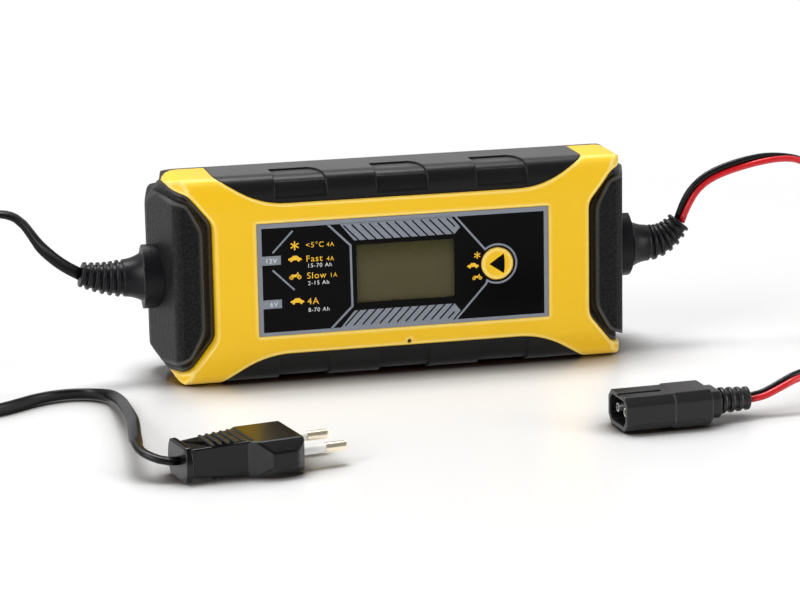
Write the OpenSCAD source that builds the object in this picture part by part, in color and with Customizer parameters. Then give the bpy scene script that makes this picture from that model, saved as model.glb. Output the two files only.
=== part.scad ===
// Family car battery charger: a sealed mains charger with rubber bumpers, a
// display and one button, its mains lead with a two-pin plug, and its battery
// lead with a two-pole connector. It stands on its lower bumper.
// X runs along the case, -Y is the front, +Z is up; millimetres.

/* [Case] */
// Height of the case, over both bumpers
case_h = 89; // [84:1:100]
// Width across the front face
front_w = 196; // [190:1:198]
// Width at the joint between the two shells
joint_w = 200; // [196:1:210]
// Depth of the front shell
front_d = 32; // [30:1:40]
// Depth of the rear shell
rear_d = 14; // [13:1:24]
// Wall thickness of both shells
wall = 2.4; // [1.8:0.1:3]
// Corner radius seen from the front
corner_r = 7; // [3:0.5:10]
// Radius of the front edges
edge_r = 4; // [2:0.5:6]
// Radius of the front corners seen from above
plan_r = 13; // [8:1:16]
// Height over which the corner arms slope back
arm_slope_h = 12; // [8:0.5:12]
// How far the corner arms slope back
arm_slope_d = 3; // [1:0.5:4]
// Draft of the rear shell on each side
rear_draft = 4; // [2:0.5:6]

/* [Bumpers] */
// Width of a bumper where it meets the front face
bumper_front_w = 122; // [110:1:130]
// Width of a bumper at its outer edge
bumper_top_w = 162; // [152:1:166]
// Height of the bumper's front strip
bumper_strip = 12; // [10:0.5:13]
// Rubber thickness of a bumper
bumper_t = 3; // [2:0.25:4]
// How far a bumper's front stays behind the yellow face
bumper_set = 1.5; // [0.5:0.25:2.5]
// Radius of a bumper's front edge
bumper_r = 8; // [5:0.5:9]
// Width of a grip pad
pad_w = 22.5; // [16:0.5:30]
// Distance between grip pads
pad_pitch = 44; // [34:1:46]
// Number of grip pads on a bumper
pads = 3; // [1:1:3]
// Depth of a grip pad's recess
pad_depth = 0.8; // [0.4:0.1:1.2]

/* [End caps] */
// Width of the front face between the notches for the caps
notch_w = 164; // [156:1:168]
// Height of a notch at its narrow end
notch_h = 50; // [44:1:54]
// Height of a notch where it meets the side of the case
notch_side_h = 76; // [72:1:78]
// Width between the places where a notch's slopes change
notch_mid_w = 185; // [182:1:188]
// Height of a cap where it meets the shell joint
cap_h = 82; // [80:1:83]
// How far a cap's rim stands behind the front face
cap_rim_set = 6.5; // [5:0.5:8]
// How far a cap's raised panel stands behind the front face
cap_panel_set = 4; // [3:0.5:6]
// Width of a cap's rim around the raised panel
cap_rim = 4.5; // [3:0.5:6]
// Width over the raised panels, at the front
cap_front_w = 197; // [194:1:200]
// Width over the raised panels, at the shell joint
cap_joint_w = 213; // [210:1:218]
// Width of the slope that cuts off a cap's outer corners
cap_bevel_w = 6.5; // [4:0.5:8]
// Height of that slope
cap_bevel_h = 9.5; // [6:0.5:11]
// How far the rim lies inside the raised panel on the side
cap_step = 3; // [2:0.5:4]
// Thickness of a cap over the shell's core, at the shell joint
cap_over = 6.5; // [5:0.5:8]

/* [Label and display] */
// Width of the label
label_w = 128; // [118:1:132]
// Height of the label
label_h = 49; // [44:1:52]
// Thickness of the label
label_t = 0.5; // [0.3:0.1:0.6]
// Depth of the label's recess
label_recess = 0.8; // [0.7:0.1:1.2]
// Width of the display window
window_w = 43; // [36:0.5:46]
// Height of the display window
window_h = 25.5; // [20:0.5:28]
// Thickness of the window pane
window_t = 1.5; // [1:0.1:2]
// Thickness of the display glass
glass_t = 2.8; // [2:0.1:3.2]
// Width of the display glass
glass_w = 54; // [50:1:56]
// Height of the display glass
glass_h = 34; // [31:1:36]
// Depth of the display board's front behind the front face
display_board_set = 10; // [9.5:0.5:11]
// Width of the display board
display_board_w = 124; // [118:1:128]
// Height of the display board
display_board_h = 46; // [42:1:50]

/* [Button] */
// Diameter of the button
button_d = 14; // [11:0.5:16]
// Sideways place of the button's centre
button_x = 41; // [38:0.5:44]
// Travel of the button
button_travel = 0.5; // [0.3:0.1:0.8]
// How far the button stands proud of the label
button_proud = 0.4; // [0.2:0.1:0.8]
// Gap around the button
button_gap = 0.4; // [0.2:0.05:0.6]

/* [Glands] */
// Height of a gland's oval collar
collar_h = 30; // [26:1:34]
// Depth of a gland's oval collar, front to back
collar_d = 20; // [16:1:22]
// Place of the mains gland's outer face from the middle of the case
mains_collar_x = 110; // [108.5:0.5:113]
// Place of the battery gland's outer face from the middle of the case
battery_collar_x = 107.5; // [106.5:0.5:113]
// Length of a gland's smooth cone
cone_l = 8.5; // [6:0.5:10]
// Length of a gland's ribbed tail
tail_l = 18; // [15:0.5:22]
// Radius of a gland at its collar
cone_r = 10.5; // [9:0.5:11]
// Radius of a gland where its ribs start
rib_r = 8; // [7:0.5:9]
// Radius of a gland's last rib
tip_r = 5.6; // [4:0.2:6]
// Depth of the grooves between the ribs
rib_groove = 1.2; // [0.8:0.2:2]
// Number of ribs on a gland
ribs = 6; // [4:1:7]
// Angle that the mains gland is bent up
mains_bend = 15; // [1:1:50]
// Angle that the battery lead's gland is bent up
battery_bend = 50; // [1:1:50]
// Radius of the gland's neck through the case wall
neck_r = 6.5; // [5:0.5:8]
// Depth of the glands behind the front face
gland_set = 24; // [22:0.5:25]

/* [Mains plug] */
// Diameter of a plug pin
pin_d = 4; // [3.8:0.1:4.8]
// Length of a plug pin
pin_l = 19; // [17:0.5:20]
// Distance between the pins
pin_pitch = 18.6; // [17.5:0.1:19]
// Length of the insulating collar on a pin
pin_collar_l = 10; // [9:0.5:11]
// Width of the plug's head
plug_w = 35.2; // [30:0.2:36]
// Thickness of the plug's head
plug_t = 14; // [12:0.1:15]
// Length of the plug's body
plug_l = 46; // [44:1:56]

/* [Battery connector] */
// Width of the connector
dc_w = 21.5; // [18:0.5:24]
// Height of the connector
dc_h = 14; // [13:0.5:17]
// Length of the connector's shroud
dc_shroud_l = 21; // [18:0.5:24]
// Length of the connector's grip
dc_grip_l = 21; // [18:0.5:26]
// Length of the connector's ribbed tail
dc_tail_l = 14; // [10:0.5:18]
// Wall of the connector's shroud
dc_wall = 1.8; // [1.4:0.1:2.4]
// Thickness of the floor that holds the contacts
dc_floor = 3; // [2:0.5:6]
// Number of ribs on the connector's tail
dc_ribs = 4; // [3:1:5]
// Distance between the two contacts
contact_pitch = 8.75; // [7:0.25:9]
// Diameter of a contact sleeve
contact_d = 3.6; // [3:0.1:4.4]
// Diameter of the hole in a contact sleeve
contact_bore = 2.4; // [2:0.1:2.6]

/* [Cords] */
// Diameter of the mains cord
cord_d = 5; // [4.4:0.1:5.1]
// Diameter of the battery lead
lead_d = 5; // [4.4:0.1:5.1]
// Distance between neighbouring turns and layers of a coil
coil_pitch = 5.6; // [5.5:0.1:6]
// Thickness of the bands around the coils
tie_t = 0.8; // [0.6:0.1:1.2]
// Width of the bands around the coils
tie_w = 6; // [4:1:10]

/* [Electronics] */
// Width of the main board
board_w = 150; // [140:1:154]
// Height of the main board
board_h = 72; // [68:1:72]
// Thickness of the boards
board_t = 1.6; // [1:0.2:2]
// Diameter of the case screws
screw_d = 3; // [2.5:0.5:3.5]

/* [Hidden] */
$fn = 48;

cut = 1;                     // overlap of a cutting tool past a face
fit = 0.1;                   // clearance of loose fits
front_y = -(front_d + rear_d) / 2;
joint_y = front_y + front_d;
rear_y = joint_y + rear_d;
mid_z = case_h / 2;
core_w = min(joint_w, cap_joint_w - 2 * cap_over);  // width of the core under the caps
core_taper = 15;
gland_inner_x = core_w / 2 - 6.5;
cap_slope = (cap_joint_w - cap_front_w) / 2 / (front_d - cap_panel_set);
core_top = case_h / 2 - bumper_t;
bumper_inner_z = case_h / 2 - bumper_strip;
bumper_rise = (bumper_top_w - bumper_front_w) / 2 / bumper_strip;
far = 130;                   // reach of a cutting outline past the case
core_y = front_y + bumper_set + bumper_t;
cap_core_y = front_y + cap_rim_set + wall;
cap_floor_y = cap_core_y + wall;
label_floor_y = front_y + label_recess;
label_y = label_floor_y - label_t;
front_inner_y = front_y + wall + 0.2;
rear_inner_y = rear_y - wall;
window_x = 0.5;
pane_y = label_floor_y;
pane_lap = 1;
display_board_y = front_y + display_board_set;
glass_y = pane_y + window_t + 0.4;
button_z = mid_z + 0.5;
led_x = 1.5;
led_z = mid_z - label_h / 2 - (bumper_inner_z - label_h / 2) * 0.8;
led_r = 0.9;
led_y = front_inner_y + 3;    // rear end of the lamp
boss_x = 82.5;
boss_z = 34;
boss_r = 3.5;
board_y = joint_y + 3;
post_r = 2.6;
display_post_x = display_board_w / 2 - 4.5;
display_post_z = display_board_h / 2 - 4;
board_post_x = board_w / 2 - 5;
board_post_z = board_h / 2 - 5;
screw_r = screw_d / 2;
screw_head_r = screw_d;
small_screw_l = 5;           // length of the boards' screws in their posts
head_h = 1.7;
head_lap = 1;                // how far a small screw's head reaches over its hole
gasket_w = 1;
core_h = 16;                 // height of the transformer above the board
clamp_w = 5.5;
clamp_h = 14;
clamp_x = (board_w / 2 + gland_inner_x - 2) / 2;  // between the board and the gland
inner_r = 2.2;               // radius of the cords inside the case
inner_x = 72;                // where they turn down to the board
sink_x = [-12, 26];          // places and sizes of the heat sinks on the main board
sink_z = [-19, -25];
sink_w = [34, 18];
sink_h = 17;
sink_t = 2.5;
transistor_x = [-20, -4, 26];
transistor_w = 10;
transistor_h = 15;
transistor_t = 4.5;
chip_x = [10, 60];
chip_z = [-28, 24];
chip_h = [8, 6];
link_x = 58;                 // place of the ribbon between the boards
gasket_y = joint_y + 1;
gland_y = front_y + gland_set;
tail_step = tail_l / (2 * ribs);
bend_share = 0.79;           // share of a gland's tail that is bent

// Places of the loose plug and connector on the floor
floor_gap = 0.1;
plug_at = [-75.5, -148.5];
plug_turn = 11;
connector_at = [59.6, -137];
connector_turn = 3;
grip_swell = 0.4;
pin_core_r = pin_d / 2 - 0.5;  // a pin inside the body and its collar
connector_z = dc_h / 2 + grip_swell + floor_gap;

// Cord routes, chosen by hand; each rise ends and each run starts at a coil
mains_rise = [[-136.2, 1, 47.3], [-141, 1, 50.1], [-145.4, 1, 53.3], [-149.4, 1, 56.9],
              [-153, 1, 60.8], [-156.4, 1, 66], [-159.4, 1, 70.4], [-162.4, 1, 73.2],
              [-166.5, 1, 75], [-172, 1.6, 75.4], [-178, 3, 73.4], [-183.4, 4.8, 69],
              [-188, 7, 62.4], [-192, 9.4, 54.6], [-196, 12, 46.4], [-200.6, 14.4, 38.4],
              [-206, 16.6, 31.2], [-212.4, 18.4, 25.4], [-219.5, 19.4, 21.8],
              [-227, 19.5, 20.4]];
mains_run = [[-227, -36.5, 3.6], [-218.1, -37.3, 3.1], [-209.6, -40, 2.6],
             [-201.5, -43.7, 2.5], [-192.9, -46.2, 2.5], [-184, -45.9, 2.5],
             [-175.8, -42.5, 2.5], [-168.5, -37.3, 2.5], [-161.4, -32, 2.5],
             [-153.3, -28.1, 2.5], [-144.9, -27, 2.5], [-137.4, -29.3, 2.5],
             [-132.2, -34.8, 2.9], [-129.4, -42.4, 3.6], [-128.5, -54.7, 4.8],
             [-128.7, -63.6, 5.7], [-129.2, -76, 7], [-129.7, -88, 8.2], [-130.4, -100, 9.3],
             [-131.6, -112, 10.4], [-133, -124, 11], [-134.2, -134, 11.2], [-134.8, -141, 11],
             [-134.9, -146, 10.6], [-134.4, -149.6, 10.1], [-133.1, -152.6, 9.5],
             [-131, -155, 8.8], [-128.3, -156.8, 8], [-125.1, -157.7, 7.4],
             [-121.7, -157.5, 7.1]];
lead_rise = [[130.9, 1, 53.2], [133.3, 1, 59.4], [137, 1, 65.8], [141.6, 1, 70.3], [147.5, 1, 73.6],
             [156, 1, 76.4], [165.4, 1, 78.4], [174.4, 1, 79.3], [183.4, 1, 78.6],
             [190, 0.6, 76.2], [196, -0.4, 72], [201, -1.8, 66], [205.4, -3.2, 58.4],
             [209.6, -4.8, 50], [214, -6.6, 41.2], [218.4, -8.4, 32.6], [223.4, -10.2, 24.4],
             [229, -11.8, 17], [235, -12.8, 11.4], [241, -13, 9.2]];
lead_run = [[241, -71, 3.6], [231, -71.3, 3.1], [221, -73.2, 2.5], [211, -77.2, 2.5],
            [202, -83, 2.5], [194, -89.6, 2.5], [186, -96.4, 2.5], [178, -103.2, 3.2],
            [170, -109.8, 5.2], [162, -116.2, 8], [154, -122, 11.2], [146.5, -126.6, 13.6],
            [140.5, -129.6, 14.2], [135.6, -131.4, 13.4], [130.6, -132.6, 11.6],
            [125.8, -133.4, 9.7], [121.2, -133.9, 8.2], [115.5, -134.1, 7.5]];

// Coils: legs that spiral in and out in turn, one layer for each leg
loop_rings = 24;
tie_gap = 0.3;
coil_low = tie_t + tie_gap;
mains_coil_at = [-232, -8.5];
mains_coil_r = 28;
mains_coil_layers = 4;
lead_coil_at = [246, -42];
lead_coil_r = 29;
lead_coil_layers = 2;
leg_turns = 1.5;

// ---------------------------------------------------------------- outlines

function unit(v) = v / norm(v);

// Polygon whose corners are rounded; r holds one radius for each corner
function soften(p, r, n = 5) = [
    for (i = [0 : len(p) - 1])
        let (b = p[i], before = p[(i + len(p) - 1) % len(p)], after = p[(i + 1) % len(p)],
             u = unit(before - b) * r[i], v = unit(after - b) * r[i])
        for (k = [0 : (r[i] == 0 ? 0 : n)])
            let (t = k / n) (r[i] == 0 ? b : b + u * (1 - t) * (1 - t) + v * t * t)];

// Outline drawn in X and Z, extruded along Y
module along_y(p, y0, y1) {
    translate([0, y1, 0]) rotate([90, 0, 0]) linear_extrude(y1 - y0) polygon(p);
}

// Outline drawn in Y and Z, extruded along X
module along_x(p, x0, x1) {
    translate([x0, 0, 0]) rotate([90, 0, 90]) linear_extrude(x1 - x0) polygon(p);
}

module cylinder_y(r, y0, y1) {
    translate([0, y0, 0]) rotate([-90, 0, 0]) cylinder(r = r, h = y1 - y0);
}

module cylinder_x(r, x0, x1) {
    translate([x0, 0, 0]) rotate([0, 90, 0]) cylinder(r = r, h = x1 - x0);
}

// Box with its corner at [x0, y0, z0] and its far corner at [x1, y1, z1]
module span(x0, x1, y0, y1, z0, z1) {
    translate([x0, y0, z0]) cube([x1 - x0, y1 - y0, z1 - z0]);
}

module both_sides() {
    children();
    mirror([1, 0, 0]) children();
}

module both_heights() {
    children();
    translate([0, 0, case_h]) mirror([0, 0, 1]) children();
}

// Box outline of half-sizes w and h about the case's middle height
function box_xz(w, h) = [[-w, mid_z - h], [w, mid_z - h], [w, mid_z + h], [-w, mid_z + h]];

// Front block: plan with drafted sides and rounded corners, and a front that slopes back at
// the top and the bottom; width is measured at the shell joint
module front_block(inset, y0, width = joint_w, taper = joint_w - front_w, round = plan_r) {
    w1 = width / 2 - inset;
    w0 = w1 - taper / 2;
    h = case_h / 2 - inset;
    r = max(edge_r - inset, 0.5);
    plan = [[w1, joint_y], [-w1, joint_y], [-w0, front_y], [w0, front_y]];
    intersection() {
        translate([0, 0, -cut]) linear_extrude(case_h + 2 * cut)
            polygon(soften(plan, [0, 0, round, round], 6));
        along_y(soften(box_xz(w1, h), [for (i = [0 : 3]) max(corner_r - inset, 1)]),
                y0, joint_y);
        along_x(soften([[front_y, mid_z - h + arm_slope_h], [front_y + arm_slope_d, mid_z - h],
                        [joint_y, mid_z - h], [joint_y, mid_z + h],
                        [front_y + arm_slope_d, mid_z + h], [front_y, mid_z + h - arm_slope_h]],
                       [3, r, 0, 0, r, 3]), -far, far);
    }
}

// The narrower block under the caps
module core_block(inset, y0) {
    front_block(inset, y0, core_w, core_taper, max(edge_r - inset, 0.5));
}

// Outline of the upper bumper in X and Z, grown by g
function bumper_outline(g) =
    let (z0 = mid_z + bumper_inner_z - g, z1 = case_h + 2,
         w0 = bumper_front_w / 2 + g, w1 = bumper_top_w / 2 + 2 * bumper_rise + g)
    soften([[-w1, z1], [-w0, z0], [w0, z0], [w1, z1]], [0, 11, 11, 0], 7);

// Outline of the right cap's notch in X and Z, shrunk by g
function notch_outline(g) =
    let (x0 = notch_w / 2 + g, x1 = notch_mid_w / 2, h0 = notch_h / 2 - g * 0.6,
         h1 = notch_side_h / 2 - g, h2 = cap_h / 2 - g)
    soften([[x0, mid_z - h0], [x1, mid_z - h1], [joint_w / 2 + 1, mid_z - h2], [far, mid_z - h2],
            [far, mid_z + h2], [joint_w / 2 + 1, mid_z + h2], [x1, mid_z + h1],
            [x0, mid_z + h0]], [3, 2, 2, 0, 0, 2, 2, 3], 4);

// Outline of the right cap in X and Z, its outer corners cut off, shrunk by g in height
function cap_outline(g) =
    let (x = cap_joint_w / 2, x1 = x - (cap_bevel_h - g) * cap_bevel_w / cap_bevel_h,
         h1 = cap_h / 2 - g, h2 = cap_h / 2 - cap_bevel_h)
    soften([[boss_x, mid_z - h1], [x1, mid_z - h1], [x, mid_z - h2], [x, mid_z + h2],
            [x1, mid_z + h1], [boss_x, mid_z + h1]], [0, 2, 2, 2, 2, 0], 3);

// ---------------------------------------------------------------- case

module notches(g, y0, y1) {
    both_sides() along_y(notch_outline(g), y0, y1);
}

module bumper_zones(g, y0, y1) {
    both_heights() along_y(bumper_outline(g), y0, y1);
}

module gland_holes() {
    both_sides() translate([0, gland_y, mid_z]) cylinder_x(neck_r + fit, joint_w / 4, far);
}

module case_cavity() {
    inner_w = notch_w / 2 - wall;
    span(-inner_w, inner_w, front_inner_y, joint_y + cut,
         mid_z - bumper_inner_z + wall, mid_z + bumper_inner_z - wall);
    span(-inner_w, inner_w, core_y + wall, joint_y + cut,
         mid_z - core_top + wall, mid_z + core_top - wall);
    intersection() {
        core_block(wall, cap_floor_y);
        span(-far, far, cap_floor_y, joint_y + cut,
             mid_z - core_top + wall, mid_z + core_top - wall);
    }
}

module at_display_posts() {
    for (sx = [-1, 1], sz = [-1, 1])
        translate([sx * display_post_x, 0, mid_z + sz * display_post_z]) children();
}

module at_board_posts() {
    for (sx = [-1, 1], sz = [-1, 1])
        translate([sx * board_post_x, 0, mid_z + sz * board_post_z]) children();
}

module at_case_screws() {
    for (sx = [-1, 1], sz = [-1, 1]) translate([sx * boss_x, 0, mid_z + sz * boss_z]) children();
}

module front_shell() {
    color("gold") difference() {
        union() {
            difference() {
                front_block(0, front_y);
                notches(0, front_y - cut, joint_y + cut);
                bumper_zones(0, front_y - cut, joint_y + cut);
                case_cavity();
            }
            difference() {
                union() {
                    intersection() {
                        core_block(0, front_y);
                        notches(-fit, cap_core_y, joint_y);
                    }
                    intersection() {
                        front_block(0, front_y);
                        bumper_zones(fit, core_y, joint_y);
                        span(-far, far, core_y, joint_y, mid_z - core_top, mid_z + core_top);
                    }
                }
                case_cavity();
            }
            at_case_screws() cylinder_y(boss_r, cap_floor_y - fit, joint_y);
            at_display_posts() cylinder_y(post_r, front_inner_y - fit, display_board_y);
        }
        at_case_screws() cylinder_y(screw_r, joint_y - 12, joint_y + cut);
        at_display_posts()
            cylinder_y(screw_r / 2, display_board_y - small_screw_l - 1, display_board_y + cut);
        gland_holes();
        span(-label_w / 2, label_w / 2, front_y - cut, label_floor_y,
             mid_z - label_h / 2, mid_z + label_h / 2);
        translate([window_x, 0, 0])
            span(-window_w / 2 - pane_lap, window_w / 2 + pane_lap, front_y, front_inner_y + cut,
                 mid_z - window_h / 2 - pane_lap, mid_z + window_h / 2 + pane_lap);
        translate([button_x, 0, button_z])
            cylinder_y(button_d / 2 + button_gap, front_y, front_inner_y + cut);
        translate([led_x, 0, led_z])
            cylinder_y(led_r, front_y - cut, led_y + fit);
    }
}

// Outer form of the rear shell, shrunk by inset
module rear_block(inset) {
    w0 = joint_w / 2 - inset;
    h0 = case_h / 2 - inset;
    d = rear_draft;
    y1 = rear_y - inset;
    y0 = joint_y - (inset > 0 ? cut : 0);
    intersection() {
        translate([0, 0, -cut]) linear_extrude(case_h + 2 * cut)
            polygon(soften([[-w0, y0], [w0, y0], [w0 - d, y1], [d - w0, y1]], [0, 0, 4, 4]));
        along_y(soften(box_xz(w0, h0), [for (i = [0 : 3]) max(corner_r - inset, 1)]), y0, y1);
        along_x(soften([[y0, mid_z - h0], [y1, mid_z - h0 + d], [y1, mid_z + h0 - d],
                        [y0, mid_z + h0]], [0, 4, 4, 0]), -far, far);
    }
}

// Swelling of the rear shell behind the right end cap
module rear_end() {
    w1 = cap_joint_w / 2;
    intersection() {
        translate([0, 0, -cut]) linear_extrude(case_h + 2 * cut)
            polygon(soften([[boss_x - cut, joint_y], [w1, joint_y], [w1 - 3, rear_y - 3],
                            [w1 - 10, rear_y], [boss_x - cut, rear_y]], [0, 0, 3, 3, 0]));
        along_y(cap_outline(cap_rim), joint_y - cut, rear_y + cut);
    }
}

module rear_shell() {
    color([0.1, 0.1, 0.11]) difference() {
        union() {
            difference() {
                union() {
                    rear_block(0);
                    both_sides() rear_end();
                }
                rear_block(wall);
            }
            at_case_screws() cylinder_y(boss_r, joint_y, rear_inner_y + fit);
            at_board_posts() cylinder_y(post_r, board_y + board_t, rear_inner_y + fit);
        }
        at_case_screws() cylinder_y(screw_r + fit, joint_y - cut, rear_y + cut);
        at_case_screws() cylinder_y(screw_head_r + fit, rear_y - 4, rear_y + cut);
        at_board_posts() cylinder_y(screw_r / 2, board_y, board_y + board_t + small_screw_l);
        gasket_ring(0);
    }
}

module gasket_ring(g) {
    w = joint_w / 2 - wall / 2 + gasket_w / 2;
    h = case_h / 2 - wall / 2 + gasket_w / 2;
    difference() {
        along_y(soften(box_xz(w, h), [6, 6, 6, 6]), joint_y - g, gasket_y);
        along_y(soften(box_xz(w - gasket_w, h - gasket_w), [5.5, 5.5, 5.5, 5.5]),
                joint_y - cut, gasket_y + cut);
    }
}

module case_gasket() {
    color("dimgray") gasket_ring(0);
}

// Upper bumper; the lower one is its mirror image
module bumper() {
    h = case_h / 2;
    y0 = front_y + bumper_set;
    r = bumper_r;
    difference() {
        intersection() {
            front_block(0, front_y);
            along_y(bumper_outline(-fit), y0, joint_y);
            along_x(soften([[y0, mid_z], [joint_y, mid_z], [joint_y, mid_z + h],
                            [y0, mid_z + h]], [0, 0, 0, r]), -far, far);
        }
        span(-far, far, core_y, joint_y + cut, mid_z, mid_z + core_top);
        for (i = [0 : pads - 1]) translate([(i - (pads - 1) / 2) * pad_pitch, 0, 0]) grip_pad();
    }
}

// Recess of one grip pad, over the front strip and the top of the bumper
module grip_pad() {
    h = case_h / 2;
    y0 = front_y + bumper_set;
    y1 = y0 + pad_depth;
    y2 = y0 + 16;
    z0 = mid_z + bumper_inner_z + 2.3;
    z1 = mid_z + h - pad_depth;
    w = pad_w / 2;
    band = soften([[y0 - cut, z0], [y1, z0], [y1, z1], [y2, z1], [y2, case_h + cut],
                   [y0 - cut, case_h + cut]], [0, 0, bumper_r, 0, 0, 0]);
    plan = [[-w, y0 - cut], [w, y0 - cut], [w, y0 + 1], [w - 2.5, y0 + 13], [w - 5, y2], [-w, y2]];
    intersection() {
        along_x(band, -w - cut, w + cut);
        translate([0, 0, mid_z]) linear_extrude(case_h) polygon(plan);
    }
}

module top_bumper() {
    color([0.14, 0.14, 0.15]) bumper();
}

module bottom_bumper() {
    color([0.14, 0.14, 0.15]) translate([0, 0, case_h]) mirror([0, 0, 1]) bumper();
}

// Plan of a cap layer from the front at depth set to the joint, on the right
module cap_plan(front_x, joint_x, set, r) {
    y0 = front_y + set;
    translate([0, 0, -cut]) linear_extrude(case_h + 2 * cut)
        polygon(soften([[notch_w / 2 - cut, y0], [front_x, y0], [joint_x, joint_y],
                        [notch_w / 2 - cut, joint_y]], [0, r, 0, 0]));
}

module cap_body() {
    side = cap_slope * (cap_rim_set - cap_panel_set);
    intersection() {
        cap_plan(cap_front_w / 2 + side - cap_step, cap_joint_w / 2 - cap_step, cap_rim_set, 3);
        along_y(notch_outline(0.3), front_y, joint_y);
        along_y(cap_outline(0.3), front_y, joint_y);
    }
    intersection() {
        cap_plan(cap_front_w / 2, cap_joint_w / 2, cap_panel_set, 2.5);
        along_y(notch_outline(cap_rim), front_y, joint_y);
        along_y(cap_outline(0.3), front_y, joint_y);
    }
}

module end_cap() {
    difference() {
        cap_body();
        core_block(0, cap_core_y);
        gland_holes();
    }
}

module left_end_cap() {
    color([0.16, 0.16, 0.17]) mirror([1, 0, 0]) end_cap();
}

module right_end_cap() {
    color([0.16, 0.16, 0.17]) end_cap();
}

// Four pan-head screws, driven from the rear
module case_screws() {
    color("silver") at_case_screws() difference() {
        union() {
            cylinder_y(screw_r, joint_y - 11, rear_y - 4);
            cylinder_y(screw_head_r, rear_y - 4, rear_y - 4 + screw_d * 0.65);
        }
        cylinder_y(screw_r * 0.6, rear_y - 3.4, rear_y + cut);
    }
}

// ---------------------------------------------------------------- front panel

module label_panel() {
    w = label_w / 2 - fit;
    h = label_h / 2 - fit;
    color([0.05, 0.05, 0.06]) difference() {
        along_y(soften(box_xz(w, h), [1.5, 1.5, 1.5, 1.5]), label_y, label_floor_y);
        translate([window_x, 0, 0])
            span(-window_w / 2, window_w / 2, label_y - cut, label_floor_y + cut,
                 mid_z - window_h / 2, mid_z + window_h / 2);
        translate([button_x, 0, button_z])
            cylinder_y(button_d / 2 + button_gap, label_y - cut, label_floor_y + cut);
    }
}

// Clear pane, glued behind the label in the opening of the shell
module display_window() {
    w = window_w / 2 + pane_lap - fit;
    h = window_h / 2 + pane_lap - fit;
    color([0.75, 0.8, 0.75, 0.4]) translate([window_x, 0, 0])
        span(-w, w, pane_y, pane_y + window_t, mid_z - h, mid_z + h);
}

module display_glass() {
    color([0.36, 0.36, 0.24]) translate([window_x, 0, 0])
        span(-glass_w / 2, glass_w / 2, glass_y, glass_y + glass_t,
             mid_z - glass_h / 2, mid_z + glass_h / 2);
}

// Frame with the diffuser that carries the glass on the display board
module display_backlight() {
    w = glass_w / 2 + 1;
    h = glass_h / 2 + 1;
    color("whitesmoke") translate([window_x, 0, 0]) difference() {
        span(-w, w, glass_y + 0.6, display_board_y, mid_z - h, mid_z + h);
        span(-glass_w / 2, glass_w / 2, glass_y, glass_y + glass_t,
             mid_z - glass_h / 2, mid_z + glass_h / 2);
    }
}

module display_board() {
    color("darkgreen") difference() {
        span(-display_board_w / 2, display_board_w / 2, display_board_y,
             display_board_y + board_t,
             mid_z - display_board_h / 2, mid_z + display_board_h / 2);
        at_display_posts() cylinder_y(screw_r, display_board_y - cut, display_board_y + 2 * cut + board_t);
    }
}

module display_screws() {
    y = display_board_y + board_t;
    color("silver") at_display_posts() {
        cylinder_y(screw_r / 2, display_board_y - small_screw_l, y);
        cylinder_y(screw_r + head_lap, y, y + head_h);
    }
}

// Round cap with a flange behind the shell wall and a stem to the switch
module mode_button() {
    flange_y = front_inner_y + 0.2;
    color("gold") translate([button_x, 0, button_z]) {
        cylinder_y(button_d / 2, label_y - button_proud, flange_y + fit);
        cylinder_y(button_d / 2 + 1.6, flange_y, flange_y + 1);
        cylinder_y(2, flange_y + 1 - fit, plunger_y());
    }
}

function plunger_y() = display_board_y - 4.1 - button_travel;

// Round peg of the switch, which moves with the button
module switch_plunger() {
    color("black") translate([button_x, 0, button_z])
        cylinder_y(1.6, plunger_y(), display_board_y - 1.5 - button_travel);
}

module button_switch() {
    s = 3;
    color("dimgray") translate([button_x, 0, button_z]) difference() {
        span(-s, s, display_board_y - 3.5, display_board_y, -s, s);
        cylinder_y(1.6 + fit, display_board_y - 3.5 - cut, display_board_y - 1);
    }
}

// Small red lamp behind the pinhole in the lower front band
module status_led() {
    color("darkred") translate([led_x, 0, led_z])
        cylinder_y(led_r - fit / 2, front_y + 0.3, led_y);
}

// ---------------------------------------------------------------- electronics

module main_board() {
    color("darkgreen") difference() {
        span(-board_w / 2, board_w / 2, board_y, board_y + board_t,
             mid_z - board_h / 2, mid_z + board_h / 2);
        at_board_posts() cylinder_y(screw_r, board_y - cut, board_y + board_t + cut);
    }
}

module board_screws() {
    color("silver") at_board_posts() {
        cylinder_y(screw_r + head_lap, board_y - head_h, board_y);
        cylinder_y(screw_r / 2, board_y, board_y + board_t + small_screw_l - 1);
    }
}

// Flat ribbon from the main board to the display board
module board_link() {
    color("lightgray")
        span(link_x, link_x + 1, display_board_y + board_t, board_y, mid_z - 9, mid_z + 9);
}

// A part on the main board: its back at the board, its face towards the front
module on_board(x, z) {
    translate([x, board_y, mid_z + z]) children();
}

module transformer_core() {
    color([0.22, 0.22, 0.24]) on_board(-12, 10) difference() {
        span(-14, 14, -core_h - 1, -1, -13, 13);
        for (s = [-1, 1])
            span(s < 0 ? -9.5 : 4.5, s < 0 ? -4.5 : 9.5, -core_h - 2, 0, -13 - cut, 13 + cut);
    }
}

module transformer_winding() {
    color("goldenrod") on_board(-12, 10) for (s = [-1, 1])
        span(s < 0 ? -9.4 : 4.6, s < 0 ? -4.6 : 9.4, -core_h - 2.5, 0, -15.5, 15.5);
}

module filter_choke_core() {
    color("darkslategray") on_board(-62, -14) difference() {
        cylinder_y(9, -9, 0);
        cylinder_y(4.5, -9 - cut, cut);
    }
}

// Two halves of copper turns around the ring, as solid sleeves
module filter_choke_winding() {
    color("peru") on_board(-62, -14) for (s = [-1, 1]) intersection() {
        difference() {
            cylinder_y(10.4, -10.4, 0);
            cylinder_y(3.2, -11, cut);
            cylinder_y(9, -9, cut);
        }
        span(s < 0 ? -12 : 1.5, s < 0 ? -1.5 : 12, -12, cut, -12, 12);
    }
}

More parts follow.
